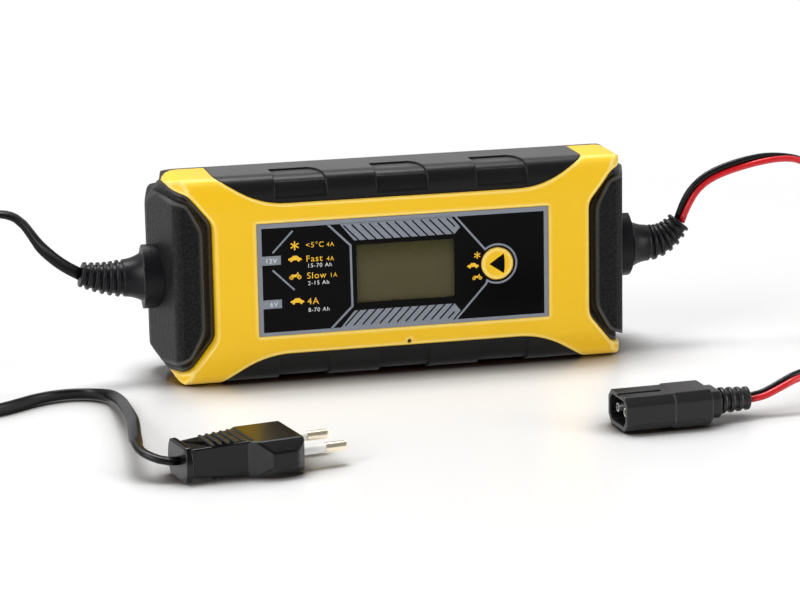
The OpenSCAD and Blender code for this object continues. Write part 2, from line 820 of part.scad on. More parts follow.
module output_choke() {
    color("peru") on_board(47, -20) difference() {
        cylinder_y(10, -11, 0);
        cylinder_y(4, -11 - cut, cut);
    }
}

module mains_capacitor() {
    color("midnightblue") on_board(-40, -18) cylinder_y(9, -17, 0);
}

module output_capacitors() {
    color("darkolivegreen") for (i = [0 : 2])
        on_board(20 + i * 11.5, 4) cylinder_y(5, -16, 0);
}

module suppression_capacitor() {
    color("khaki") on_board(-62, 8) span(-9, 9, -14, 0, -4.5, 4.5);
}

module bridge_rectifier() {
    color("black") on_board(-42, 4) span(-7.5, 7.5, -12, 0, -2, 2);
}

// Three tab transistors, standing against the heat sinks
module power_transistors() {
    color("black") for (k = [0 : 2])
        on_board(transistor_x[k], sink_z[k < 2 ? 0 : 1] + transistor_t)
            span(-transistor_w / 2, transistor_w / 2, -transistor_h, 0, -transistor_t, 0);
}

module heat_sinks() {
    color("lightgray") for (k = [0, 1]) heat_sink(sink_x[k], sink_z[k], sink_w[k]);
}

// Plate with fins on its lower side
module heat_sink(x, z, w) {
    on_board(x, z) {
        span(-w / 2, w / 2, -sink_h, 0, -sink_t, 0);
        for (i = [0 : 3]) translate([-w / 2 + 1 + i * (w - 3) / 3, 0, 0])
            span(-0.75, 0.75, -sink_h, 0, -sink_t * 2.8, fit - sink_t);
    }
}

module mains_fuse() {
    color("gainsboro") on_board(-62, 21) {
        translate([-10, -3.6, 0]) cylinder_x(2.6, 0, 20);
        for (s = [-10, 5]) span(s, s + 5, -3.6, 0, -1.6, 1.6);
    }
}

module surge_disc() {
    color("royalblue") on_board(-42, 14) {
        translate([0, -8.5, -2]) cylinder(r = 6, h = 4);
        span(-3, 3, -4, 0, -1, 1);
    }
}

module control_chips() {
    color("black") for (k = [0, 1]) on_board(chip_x[k], chip_z[k])
        span(-5, 5, -1.8, 0, -chip_h[k] / 2, chip_h[k] / 2);
}

// ---------------------------------------------------------------- glands

// Radius of the ribbed tail at its rib k
function tail_radius(k) = rib_r + (tip_r - rib_r) * k / (ribs - 1);

// Half section of the hollow-sided cone from the collar to the ribs
function cone_profile() = concat([[0, -fit], [cone_r, -fit]],
    [for (k = [0 : 5]) [rib_r + (cone_r - rib_r) * pow(1 - k / 5, 2), cone_l * k / 5]],
    [[0, cone_l]]);

// Pointed oval bar: what two round bars of the collar's height share, as deep as the collar
module oval_bar(x0, x1) {
    shift = (collar_h - collar_d) / 2;
    intersection() {
        translate([0, shift, 0]) cylinder_x(collar_h / 2, x0, x1);
        translate([0, -shift, 0]) cylinder_x(collar_h / 2, x0, x1);
    }
}

// Places its children at length s along the tail's middle line, which bends up by bend
module at_tail(s, bend) {
    arc = tail_l * bend_share;
    r = arc / bend * 180 / PI;
    a = min(s / arc, 1) * bend;
    translate([r * sin(a), 0, r * (1 - cos(a))]) rotate([0, 90 - a, 0])
        translate([0, 0, max(s - arc, 0)]) children();
}

// Bent core of the tail with its ribs
module ribbed_tail(bend) {
    r = tail_l * bend_share / bend * 180 / PI;
    core_r = tip_r - rib_groove;
    translate([0, 0, r]) rotate([90, 0, 0]) rotate([0, 0, -90])
        rotate_extrude(angle = bend) translate([r, 0]) circle(core_r);
    at_tail(tail_l * bend_share, bend) cylinder(r = core_r, h = tail_l * (1 - bend_share));
    for (i = [0 : ribs - 1]) {
        at_tail(2 * i * tail_step, bend)
            cylinder(r1 = tail_radius(i - 0.5) - rib_groove, r2 = tail_radius(i) - rib_groove,
                     h = 1.5 * tail_step);
        at_tail((2 * i + 1) * tail_step, bend)
            cylinder(r1 = tail_radius(i), r2 = tail_radius(i + 0.5), h = tail_step);
    }
}

// Moulded gland on the right side: collar on the cap, neck through the wall, bent ribbed tail
module gland(collar_x, bend) {
    difference() {
        translate([0, gland_y, mid_z]) {
            oval_bar(joint_w / 2 - 1, collar_x);
            translate([collar_x, 0, 0]) rotate([0, 90, 0]) rotate_extrude() polygon(cone_profile());
        }
        translate([0, gland_y, mid_z]) cylinder_x(neck_r, 0, joint_w / 2 + 1);
        cap_body();
        front_block(0, front_y);
        rear_block(0);
        rear_end();
    }
    translate([0, gland_y, mid_z]) {
        cylinder_x(neck_r, gland_inner_x, collar_x - 1);
        cylinder_x(neck_r + 2, gland_inner_x - 2, gland_inner_x);
        translate([collar_x + cone_l, 0, 0]) ribbed_tail(bend);
    }
}

module mains_gland() {
    color([0.1, 0.1, 0.11]) mirror([1, 0, 0]) gland(mains_collar_x, mains_bend);
}

module battery_gland() {
    color([0.1, 0.1, 0.11]) gland(battery_collar_x, battery_bend);
}

// Saddles inside the case that grip the cords behind their glands
module cord_clamps() {
    color("dimgray") both_sides() translate([clamp_x, gland_y, mid_z]) difference() {
        span(-clamp_w / 2, clamp_w / 2, -clamp_w, rear_inner_y - gland_y, -clamp_h / 2, clamp_h / 2);
        cylinder_x(inner_r + 0.2, -clamp_w, clamp_w);
    }
}

// Bared cord ends from the glands down to the main board
module inner_tail(x, r) {
    translate([0, gland_y, mid_z]) cylinder_x(r, x, gland_inner_x - 2);
    translate([x, 0, mid_z]) cylinder_y(r, gland_y, board_y);
    translate([x, gland_y, mid_z]) sphere(r);
}

module mains_tail() {
    color("black") mirror([1, 0, 0]) inner_tail(inner_x, inner_r);
}

module battery_tail() {
    color("firebrick") inner_tail(inner_x - 4, inner_r);
}

// ---------------------------------------------------------------- tubes

// Direction at each point of a path; its ends may be told theirs, square to what they meet
function tangents(p, first, last) = [for (i = [0 : len(p) - 1])
    i == 0 && is_list(first) ? first : i == len(p) - 1 && is_list(last) ? last :
    unit(p[min(i + 1, len(p) - 1)] - p[max(i - 1, 0)])];

// One side vector for each point, carried along the path without twist
function carried(t) =
    let (start = abs(t[0].z) > 0.8 ? [0, 1, 0] : [0, 0, 1])
    [for (i = 0, u = unit(start - (start * t[0]) * t[0]); i < len(t);
          i = i + 1, u = i < len(t) ? unit(u - (u * t[i]) * t[i]) : u) u];

// Closed tube through points p; first and last are the directions of its ends, where given
module tube(p, r, sides, first = 0, last = 0) {
    t = tangents(p, first, last);
    u = carried(t);
    n = len(p);
    rings = [for (i = [0 : n - 1], k = [0 : sides - 1])
        let (a = 360 * k / sides, v = cross(t[i], u[i]))
        p[i] + r * (cos(a) * u[i] + sin(a) * v)];
    walls = [for (i = [0 : n - 2], k = [0 : sides - 1])
        let (a = i * sides + k, b = i * sides + (k + 1) % sides)
        each [[a, a + sides, b], [b, a + sides, b + sides]]];
    first = [for (k = [1 : sides - 2]) [0, k, k + 1]];
    base = (n - 1) * sides;
    last = [for (k = [1 : sides - 2]) [base, base + k + 1, base + k]];
    polyhedron(concat(rings), concat(walls, first, last), 4);
}

// Turns of a coil: each leg spirals in or out by one layer's turns, and the coil climbs a
// layer in the half turn where the spiral reverses; both ends run on straight
function coil_points(at, radius, layers, d, from, way) =
    let (n = leg_turns * loop_rings, half = loop_rings / 2, quarter = half / 2,
         leg_n = n + half, step = coil_pitch / loop_rings, last = layers * leg_n - half,
         turns = [for (i = [0 : last])
             let (q = i + quarter, leg = floor(q / leg_n), w = q - leg * leg_n,
                  r = radius + (quarter - (leg % 2 == 0 ? w : leg_n - w)) * step,
                  x = w > n + quarter ? (w - n - quarter) / half :
                      w < quarter ? (w + quarter) / half : 0,
                  lay = (w < quarter ? leg - 1 : leg) + x * x * (3 - 2 * x),
                  a = from + way * 360 * i / loop_rings)
             [at[0] + r * cos(a), at[1] + r * sin(a), coil_low + d / 2 + coil_pitch * lay]],
         away = function (a) way * d * [-sin(a), cos(a), 0])
    concat([turns[0] - away(from)], turns,
           [turns[last] + away(from + way * 360 * last / loop_rings)]);

function least(list) = min([for (v = list) v]);

// Least clear distance between turns that are at least half a loop apart
function self_gap(p, d) =
    least([for (i = [0 : len(p) - 1], j = [i + loop_rings / 2 : len(p) - 1])
        j < len(p) ? norm(p[i] - p[j]) - d : 1000]);

function path_length(p) = len(p) < 2 ? 0 :
    [for (i = 1, s = norm(p[1] - p[0]); i < len(p); i = i + 1,
          s = i < len(p) ? s + norm(p[i] - p[i - 1]) : s) s][len(p) - 2];

mains_coil = coil_points(mains_coil_at, mains_coil_r, mains_coil_layers, cord_d, 270, -1);
lead_coil = coil_points(lead_coil_at, lead_coil_r, lead_coil_layers, lead_d, 270, 1);

echo("mains coil least gap", self_gap(mains_coil, cord_d));
echo("battery coil least gap", self_gap(lead_coil, lead_d));
echo("mains cord length", path_length(mains_rise), path_length(mains_coil),
     path_length(mains_run));
echo("battery lead length", path_length(lead_rise), path_length(lead_coil),
     path_length(lead_run));

module mains_cord_rise() {
    color("black") tube(mains_rise, cord_d / 2, 8,
                        [-cos(mains_bend), 0, sin(mains_bend)], [-1, 0, 0]);
}

module mains_cord_coil() {
    color("black") tube(mains_coil, cord_d / 2, 6);
}

module mains_cord_run() {
    color("black") tube(mains_run, cord_d / 2, 8,
                        [1, 0, 0], [cos(plug_turn), sin(plug_turn), 0]);
}

module battery_lead_rise() {
    color("firebrick") tube(lead_rise, lead_d / 2, 8,
                            [cos(battery_bend), 0, sin(battery_bend)], [1, 0, 0]);
}

module battery_lead_coil() {
    color("firebrick") tube(lead_coil, lead_d / 2, 6);
}

module battery_lead_run() {
    color("firebrick") tube(lead_run, lead_d / 2, 8,
                            [-1, 0, 0], -[cos(connector_turn), sin(connector_turn), 0]);
}

// Closed band around the turns of a coil, on its side away from the case
module coil_tie(radius, layers, d) {
    r0 = radius - (leg_turns + 0.25) * coil_pitch - d / 2 - tie_gap;
    r1 = radius + coil_pitch / 4 + d / 2 + tie_gap;
    top = coil_low + d + (layers - 1) * coil_pitch + tie_gap;
    difference() {
        span(r0 - tie_t, r1 + tie_t, -tie_w / 2, tie_w / 2, 0, top + tie_t);
        span(r0, r1, -tie_w / 2 - cut, tie_w / 2 + cut, tie_t, top);
    }
}

module mains_cord_tie() {
    color("white") translate([mains_coil_at[0], mains_coil_at[1], 0]) mirror([1, 0, 0])
        coil_tie(mains_coil_r, mains_coil_layers, cord_d);
}

module battery_lead_tie() {
    color("white") translate([lead_coil_at[0], lead_coil_at[1], 0])
        coil_tie(lead_coil_r, lead_coil_layers, lead_d);
}

// ---------------------------------------------------------------- plug

// Plug's own frame: X runs out of the pins, the pins' roots at the origin
module at_plug() {
    translate([plug_at[0], plug_at[1], plug_t / 2 + floor_gap]) rotate([0, 0, plug_turn]) children();
}

module mains_plug() {
    w = plug_w / 2;
    t = plug_t / 2;
    plan = [[0, -w + 4], [0, w - 4], [-4, w], [-14, w], [-22, 10], [-plug_l, 7], [-plug_l, -7],
            [-22, -10], [-14, -w], [-4, -w]];
    side = [[0, -t], [0, t], [-20, t], [-plug_l, t - 1.5], [-plug_l, 1.5 - t], [-20, -t]];
    section = [[-w, -t + 4], [-w + 5, -t], [w - 5, -t], [w, -t + 4], [w, t - 4], [w - 5, t],
               [-w + 5, t], [-w, t - 4]];
    color([0.08, 0.08, 0.09]) at_plug() difference() {
        union() {
            intersection() {
                translate([0, 0, -t]) linear_extrude(2 * t) polygon(plan);
                rotate([90, 0, 0]) translate([0, 0, -w]) linear_extrude(2 * w) polygon(side);
                rotate([90, 0, 90]) translate([0, 0, -plug_l]) linear_extrude(plug_l)
                    polygon(section);
            }
            intersection() {
                translate([-plug_l - 1, 0, 0]) cylinder_x(11, 0, 3);
                span(-plug_l - 1, -plug_l + 2, -11, 11, -t, t);
            }
            for (i = [0 : 5]) translate([-20 - i * 3, 0, 0]) span(-0.8, 0.8, -9.6 + i * 0.3,
                9.6 - i * 0.3, -t, t + 0.6 - i * 0.12);
        }
        for (s = [-1, 1]) translate([-cut, s * pin_pitch / 2, 0])
            cylinder_x(pin_core_r, -8, 2 * cut);
    }
}

module plug_pins() {
    color("gainsboro") at_plug() for (s = [-1, 1]) translate([0, s * pin_pitch / 2, 0]) {
        cylinder_x(pin_core_r, -8, pin_collar_l + fit);
        cylinder_x(pin_d / 2, pin_collar_l, pin_l - 0.8);
        translate([pin_l - 0.8, 0, 0]) rotate([0, 90, 0])
            cylinder(r1 = pin_d / 2, r2 = pin_d / 2 - 0.8, h = 0.8);
    }
}

module pin_collars() {
    color("white") at_plug() for (s = [-1, 1]) translate([0, s * pin_pitch / 2, 0])
        difference() {
            cylinder_x(pin_d / 2 - 0.2, 0, pin_collar_l);
            cylinder_x(pin_core_r, -cut, pin_collar_l + cut);
        }
}

// ---------------------------------------------------------------- connector

// Connector's own frame: X runs from the mouth back to the lead
module at_connector() {
    translate([connector_at[0], connector_at[1], connector_z])
        rotate([0, 0, connector_turn]) children();
}

// Eight-sided bar along X, w and h from its middle to its sides
module connector_bar(w, h, x0, x1) {
    c = min(w, h) * 0.45;
    translate([x0, 0, 0]) rotate([90, 0, 90]) linear_extrude(x1 - x0)
        polygon([[-w, -h + c], [-w + c, -h], [w - c, -h], [w, -h + c], [w, h - c],
                 [w - c, h], [-w + c, h], [-w, h - c]]);
}

module battery_connector() {
    w = dc_w / 2;
    h = dc_h / 2;
    grip_end = dc_shroud_l + dc_grip_l;
    shoulder = 5;
    tail_r = h * 0.6;
    color([0.12, 0.12, 0.13]) at_connector() difference() {
        union() {
            connector_bar(w, h, 0, dc_shroud_l + fit);
            connector_bar(w + grip_swell, h + grip_swell, dc_shroud_l, grip_end - shoulder);
            connector_bar(w * 0.75, h * 0.8, grip_end - shoulder - fit, grip_end);
            cylinder_x(tail_r, grip_end - fit, grip_end + dc_tail_l);
            for (i = [0 : dc_ribs - 1]) translate([(i + 0.5) * dc_tail_l / dc_ribs, 0, 0])
                cylinder_x(tail_r + 1.2 - i * 0.2, grip_end, grip_end + dc_tail_l / dc_ribs / 2);
        }
        connector_bar(w - dc_wall, h - dc_wall, -cut, dc_shroud_l - dc_floor);
        span(-cut, dc_shroud_l - dc_floor, -2.4, 0.4, h - dc_wall / 2, h + cut);
        for (s = [-1, 1]) translate([0, s * contact_pitch / 2, 0])
            cylinder_x(contact_d / 2, dc_shroud_l - dc_floor - cut, dc_shroud_l);
    }
}

module connector_contacts() {
    x0 = 5;
    color("gold") at_connector() for (s = [-1, 1]) translate([0, s * contact_pitch / 2, 0])
        difference() {
            cylinder_x(contact_d / 2, x0, dc_shroud_l);
            cylinder_x(contact_bore / 2, x0 - cut, dc_shroud_l - dc_floor);
        }
}

// ---------------------------------------------------------------- parts

front_shell();
rear_shell();
case_gasket();
top_bumper();
bottom_bumper();
left_end_cap();
right_end_cap();
case_screws();
label_panel();
display_window();
display_glass();
display_backlight();
display_board();
display_screws();
mode_button();
switch_plunger();
button_switch();
status_led();
main_board();
board_screws();
board_link();
transformer_core();
transformer_winding();
filter_choke_core();
filter_choke_winding();
output_choke();
mains_capacitor();
output_capacitors();
suppression_capacitor();
bridge_rectifier();
power_transistors();
heat_sinks();
mains_fuse();
surge_disc();
control_chips();
mains_gland();
battery_gland();
cord_clamps();
mains_tail();
battery_tail();
mains_plug();
plug_pins();
pin_collars();
battery_connector();
connector_contacts();
mains_cord_rise();
mains_cord_coil();
mains_cord_run();
mains_cord_tie();
battery_lead_rise();
battery_lead_coil();
battery_lead_run();
battery_lead_tie();
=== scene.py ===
import math

import bmesh
import bpy
from mathutils import Matrix, Vector


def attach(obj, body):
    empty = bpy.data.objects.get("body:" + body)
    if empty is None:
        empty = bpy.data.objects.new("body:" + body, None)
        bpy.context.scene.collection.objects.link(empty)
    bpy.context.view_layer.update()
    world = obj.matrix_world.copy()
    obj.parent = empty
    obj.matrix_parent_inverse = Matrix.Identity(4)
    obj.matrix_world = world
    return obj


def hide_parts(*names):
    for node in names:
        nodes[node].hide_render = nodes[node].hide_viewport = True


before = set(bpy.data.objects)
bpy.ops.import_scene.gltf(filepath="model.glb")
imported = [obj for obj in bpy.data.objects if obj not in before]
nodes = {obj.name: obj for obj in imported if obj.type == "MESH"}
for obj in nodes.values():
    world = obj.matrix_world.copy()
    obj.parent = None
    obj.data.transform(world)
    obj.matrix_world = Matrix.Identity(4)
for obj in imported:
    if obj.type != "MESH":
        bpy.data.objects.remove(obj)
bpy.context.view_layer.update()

# ---------------------------------------------------------------- camera, light and floor
# A long lens looks at the charger from its left and a little above. The light is a plain
# white tent: one broad lamp above, one soft lamp from each side, and a bright white floor.

# The colour sockets of a Mix node: two inputs and the output.
TONE_A, TONE_B, TONE = 6, 7, 2


def linear(code):
    """sRGB hex to the linear colour that Blender's shaders take."""
    parts = [int(code[i : i + 2], 16) / 255 for i in (1, 3, 5)]
    return [c / 12.92 if c < 0.04045 else ((c + 0.055) / 1.055) ** 2.4 for c in parts] + [1]


def add_node(owner, kind, settings=None, links=None):
    """Adds a shader node to a material or a world. settings hold attributes or socket values,
    with colours as sRGB hex; links join a socket of the new node to (node, socket of it)."""
    tree = owner.node_tree
    new = tree.nodes.new("ShaderNode" + kind)
    for key, value in (settings or {}).items():
        if isinstance(value, str) and value.startswith("#"):
            value = linear(value)
        if isinstance(key, str) and hasattr(new, key) and key not in new.inputs:
            setattr(new, key, value)
        else:
            new.inputs[key].default_value = value
    for key, (other, out) in (links or {}).items():
        tree.links.new(other.outputs[out], new.inputs[key])
    return new


def start_material(name):
    """An empty node material, and the socket of the coordinates that its patterns lie in."""
    material = bpy.data.materials.new(name)
    material.use_nodes = True
    material.node_tree.nodes.clear()
    return material, (add_node(material, "TexCoord"), "Object")


def finish_material(material, shader):
    add_node(material, "OutputMaterial", links={"Surface": (shader, 0)})


turn = math.radians(13)
tilt = math.radians(13)
roll = math.radians(-1.062)
aim = (0.00338, 0.002, 0.02604)
distance = 1.3553
ahead = Vector((math.sin(turn) * math.cos(tilt), math.cos(turn) * math.cos(tilt), -math.sin(tilt)))
right = Vector((math.cos(turn), -math.sin(turn), 0))
up = right.cross(ahead)
across = right * math.cos(roll) + up * math.sin(roll)
upward = up * math.cos(roll) - right * math.sin(roll)
lens = bpy.data.cameras.new("camera")
lens.sensor_width = 36
lens.lens = 139.5
lens.clip_end = 20
camera = bpy.data.objects.new("camera", lens)
bpy.context.scene.collection.objects.link(camera)
camera.matrix_world = Matrix(
    [[across[i], upward[i], -ahead[i], aim[i] - distance * ahead[i]] for i in range(3)]
    + [[0, 0, 0, 1]]
)
bpy.context.scene.camera = camera
bpy.context.scene.view_settings.view_transform = "Standard"

# The tent is dim behind the camera and bright behind the charger; the camera sees it white.
world = bpy.data.worlds.new("studio")
bpy.context.scene.world = world
world.use_nodes = True
world.node_tree.nodes.clear()
rays = add_node(world, "LightPath")
heading = add_node(world, "TexCoord")
parts = add_node(world, "SeparateXYZ", links={0: (heading, "Generated")})
room = add_node(
    world,
    "MapRange",
    {"From Min": -0.5, "From Max": 0.5, "To Min": 0.2, "To Max": 0.85},
    {"Value": (parts, "Y")},
)
strength = add_node(world, "Mix", {"B": 1.0}, {"Factor": (rays, "Is Camera Ray"), "A": (room, 0)})
glow = add_node(world, "Background", links={"Strength": (strength, 0)})
add_node(world, "OutputWorld", links={"Surface": (glow, 0)})


def lamp(name, place, aim, size, power):
    """A rectangular lamp: its place and what it points at in metres, its size, its watts."""
    data = bpy.data.lights.new(name, "AREA")
    data.shape = "RECTANGLE"
    data.size, data.size_y = size
    data.energy = power
    thing = bpy.data.objects.new(name, data)
    bpy.context.scene.collection.objects.link(thing)
    thing.location = place
    thing.rotation_euler = (Vector(aim) - Vector(place)).to_track_quat("-Z", "Y").to_euler()


lamp("top_softbox", (-0.1, 0.36, 1.4), (0, 0, 0.03), (0.9, 0.4), 18)
lamp("left_softbox", (-1.2, -0.7, 0.7), (0, 0, 0.04), (0.7, 0.9), 15)
lamp("right_softbox", (1.3, -0.9, 0.5), (0, 0, 0.04), (0.6, 0.8), 10)

# Seamless white table top. It takes a soft shadow and a faint reflection of the yellow.
bpy.ops.object.select_all(action="DESELECT")
bpy.ops.mesh.primitive_plane_add(size=6, location=(0, 0, -0.0002))
table_top = bpy.context.object
table_top.name = "table_top"
laminate, place = start_material("white_laminate")
# Right at the foot of the charger, where little light gets in, a shadow is painted on the floor.
near = add_node(laminate, "AmbientOcclusion", {"samples": 16, "Distance": 0.022})
open_share = add_node(
    laminate, "MapRange", {"From Min": 0.45, "From Max": 0.95}, {"Value": (near, "AO")}
)
seen = add_node(laminate, "LightPath")
foot = add_node(
    laminate, "Mix", {"A": 1.0}, {"Factor": (seen, "Is Camera Ray"), "B": (open_share, 0)}
)
floor_with_painted_shadow = add_node(
    laminate, "Mix", {"data_type": "RGBA", TONE_A: "#241408", TONE_B: "#E2E2E2"}, {0: (foot, 0)}
)
paint = add_node(
    laminate, "BsdfPrincipled", {"Roughness": 0.3, "IOR": 1.5}, {"Base Color": (floor_with_painted_shadow, TONE)}
)
# Away from the charger the sheet runs out into pure white.
away = add_node(laminate, "VectorMath", {"operation": "LENGTH"}, {0: place})
fade = add_node(
    laminate,
    "MapRange",
    {"interpolation_type": "SMOOTHSTEP", "From Min": 0.16, "From Max": 0.55},
    {"Value": (away, "Value")},
)
share = add_node(
    laminate, "Math", {"operation": "MULTIPLY"}, {0: (fade, 0), 1: (seen, "Is Camera Ray")}
)
plain = add_node(laminate, "Emission", {"Color": "#FFFFFF", "Strength": 1.0})
both = add_node(laminate, "MixShader", links={0: (share, 0), 1: (paint, 0), 2: (plain, 0)})
finish_material(laminate, both)
table_top.data.materials.append(laminate)

# ---------------------------------------------------------------- mains cord
# Flat two-core PVC cord, 5.4 by 3.4 mm, black. It leaves its gland standing on edge, is put
# away in a coil of four layers beside the charger, and runs on over the table to the plug.

mm = 0.001


def smooth_route(points, step):
    """Points along a smooth curve through the route's points, in metres."""
    p = [Vector(q) * mm for q in points]
    p = [2 * p[0] - p[1]] + p + [2 * p[-1] - p[-2]]
    out = []
    for i in range(1, len(p) - 2):
        parts = max(1, round((p[i + 1] - p[i]).length / step))
        for k in range(parts):
            t = k / parts
            out.append(
                0.5
                * (
                    2 * p[i]
                    + (p[i + 1] - p[i - 1]) * t
                    + (2 * p[i - 1] - 5 * p[i] + 4 * p[i + 1] - p[i + 2]) * t * t
                    + (3 * p[i] - 3 * p[i + 1] + p[i + 2] - p[i - 1]) * t**3
                )
            )
    return out + [p[-2]]


def coil_route(at, radius, layers, d, way, low=1.1, pitch=5.6, turns=1.5, rings=24):
    """A coil whose legs spiral in and out, one layer each, from its lowest turn up, in
    millimetres. d is the cord's thickness, and way is 1 or -1 for the sense of turning."""
    n, half, quarter = int(turns * rings), rings // 2, rings // 4
    leg_n = n + half
    last = layers * leg_n - half
    points = []
    for i in range(last + 1):
        q = i + quarter
        leg = q // leg_n
        w = q - leg * leg_n
        r = radius + (quarter - (w if leg % 2 == 0 else leg_n - w)) * pitch / rings
        x = (w - n - quarter) / half if w > n + quarter else (w + quarter) / half if w < quarter else 0
        lay = (leg - 1 if w < quarter else leg) + x * x * (3 - 2 * x)
        a = math.radians(270 + way * 360 * i / rings)
        points.append((at[0] + r * math.cos(a), at[1] + r * math.sin(a), low + d / 2 + pitch * lay))
    return points


def directions(points):
    last = len(points) - 1
    return [(points[min(i + 1, last)] - points[max(i - 1, 0)]).normalized() for i in range(last + 1)]


def wide_sides(points, marks):
    """The direction of a flat cord's wide side at each point. marks give it as vectors at
    shares of the length; between them it turns evenly, always square to the cord."""
    along = directions(points)
    run = [0.0]
    for i in range(1, len(points)):
        run.append(run[-1] + (points[i] - points[i - 1]).length)
    out = []
    for s, t in zip(run, along):
        k = max(i for i in range(len(marks)) if marks[i][0] <= s / run[-1] + 1e-9)
        if k == len(marks) - 1:
            v = Vector(marks[k][1])
        else:
            f = (s / run[-1] - marks[k][0]) / (marks[k + 1][0] - marks[k][0])
            v = Vector(marks[k][1]) * (1 - f) + Vector(marks[k + 1][1]) * f
        out.append((v - v.dot(t) * t).normalized())
    return out


def sweep(name, points, wide, sections):
    """Tubes along points. Each section is a list of (across, through) places in metres,
    along the wide side and square to it, and gets a material slot of its own."""
    along = directions(points)
    verts, faces, slots = [], [], []
    for number, section in enumerate(sections):
        base = len(verts)
        n = len(section)
        for p, w, t in zip(points, wide, along):
            thin = t.cross(w)
            verts += [p + w * a + thin * b for a, b in section]
        rows = len(points)
        for i in range(rows - 1):
            for k in range(n):
                a, b = base + i * n + k, base + i * n + (k + 1) % n
                faces.append((a, b, b + n, a + n))
                slots.append(number)
        faces.append(tuple(base + k for k in reversed(range(n))))
        faces.append(tuple(base + (rows - 1) * n + k for k in range(n)))
        slots += [number, number]
    mesh = bpy.data.meshes.new(name)
    mesh.from_pydata(verts, [], faces)
    mesh.polygons.foreach_set("material_index", slots)
    mesh.polygons.foreach_set("use_smooth", [len(p.vertices) == 4 for p in mesh.polygons])
    piece = bpy.data.objects.new(name, mesh)
    bpy.context.scene.collection.objects.link(piece)
    return piece


mains_rise = [
    (-136.2, 1, 47.3), (-141, 1, 50.1), (-145.4, 1, 53.3), (-149.4, 1, 56.9), (-153, 1, 60.8),
    (-156.4, 1, 66), (-159.4, 1, 70.4), (-162.4, 1, 73.2), (-166.5, 1, 75), (-172, 1.6, 75.4),
    (-178, 3, 73.4), (-183.4, 4.8, 69), (-188, 7, 62.4), (-192, 9.4, 54.6), (-196, 12, 46.4),
    (-200.6, 14.4, 38.4), (-206, 16.6, 31.2), (-212.4, 18.4, 25.4), (-219.5, 19.4, 21.8),
    (-227, 19.5, 20.4),
]  # fmt: skip
mains_run = [
    (-227, -36.5, 3.6), (-218.1, -37.3, 3.1), (-209.6, -40, 2.6), (-201.5, -43.7, 2.5),
    (-192.9, -46.2, 2.5), (-184, -45.9, 2.5), (-175.8, -42.5, 2.5), (-168.5, -37.3, 2.5),
    (-161.4, -32, 2.5), (-153.3, -28.1, 2.5), (-144.9, -27, 2.5), (-137.4, -29.3, 2.5),
    (-132.2, -34.8, 2.9), (-129.4, -42.4, 3.6), (-128.5, -54.7, 4.8), (-128.7, -63.6, 5.7),
    (-129.2, -76, 7), (-129.7, -88, 8.2), (-130.4, -100, 9.3), (-131.6, -112, 10.4),
    (-133, -124, 11), (-134.2, -134, 11.2), (-134.8, -141, 11), (-134.9, -146, 10.6),
    (-134.4, -149.6, 10.1), (-133.1, -152.6, 9.5), (-131, -155, 8.8), (-128.3, -156.8, 8),
    (-125.1, -157.7, 7.4), (-121.7, -157.5, 7.1),
]  # fmt: skip
mains_coil = coil_route((-232, -8.5), 28, 4, 5, -1)
mains_points = smooth_route(mains_rise + list(reversed(mains_coil)) + mains_run, 0.0028)
half_wide, half_thick = 2.7, 1.7
flat = [
    (half_wide * math.cos(a) * mm, half_thick * math.sin(a) * (0.9 + 0.1 * abs(math.cos(a)) ** 0.5) * mm)
    for a in (math.radians(22.5 * k) for k in range(16))
]
mains_wide = wide_sides(
    mains_points,
    [(0, (0, 0.3, 1)), (0.012, (0, 0.3, 1)), (0.03, (0, 1, 0.15)), (0.06, (0, 1, 0.1)),
     (0.1, (0, 0, 1)), (0.865, (0, 0, 1)), (0.885, (0, -0.3, 1)), (0.91, (0.3, -0.6, 0.6)),
     (0.93, (1, 0, 0.1)), (1, (-0.19, 0.98, 0))],
)  # fmt: skip
mains_cord = sweep("mains_cord", mains_points, mains_wide, [flat])


def fine_material(name, pattern, shader, tones=None, gloss=None, bump=None, kind="TexNoise"):
    """A material with one fine pattern, a texture node of some kind and its settings. The
    pattern blends two tones, spreads the roughness over a range, and raises bumps of some
    strength and height in metres. shader holds the other settings of the shader."""
    material, place = start_material(name)
    grain = add_node(material, kind, pattern, {"Vector": place})
    links = {}
    if tones:
        ends = {"data_type": "RGBA", TONE_A: tones[0], TONE_B: tones[1]}
        links["Base Color"] = (add_node(material, "Mix", ends, {0: (grain, "Fac")}), TONE)
    if gloss:
        ends = {"To Min": gloss[0], "To Max": gloss[1]}
        links["Roughness"] = (add_node(material, "MapRange", ends, {"Value": (grain, "Fac")}), 0)
    if bump:
        size = {"Strength": bump[0], "Distance": bump[1]}
        links["Normal"] = (add_node(material, "Bump", size, {"Height": (grain, "Fac")}), 0)
    finish_material(material, add_node(material, "BsdfPrincipled", shader, links))
    return material


# Extruded PVC sheath: a dull shine with faint drag marks.
cord_pvc = fine_material(
    "pvc_cord_sheath_black",
    {"Scale": 320, "Detail": 2},
    {"Base Color": "#070709", "Roughness": 0.36, "IOR": 1.53, "Specular IOR Level": 0.25},
    bump=(0.06, 0.0002),
)
mains_cord.data.materials.append(cord_pvc)
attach(mains_cord, "case")
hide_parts("mains_cord_rise", "mains_cord_coil", "mains_cord_run")

# ---------------------------------------------------------------- battery lead
# Two single-core leads joined side by side, black over red, 2.8 mm each. They rise from the
# bent gland, lie in a coil of two layers, and run on to the connector.

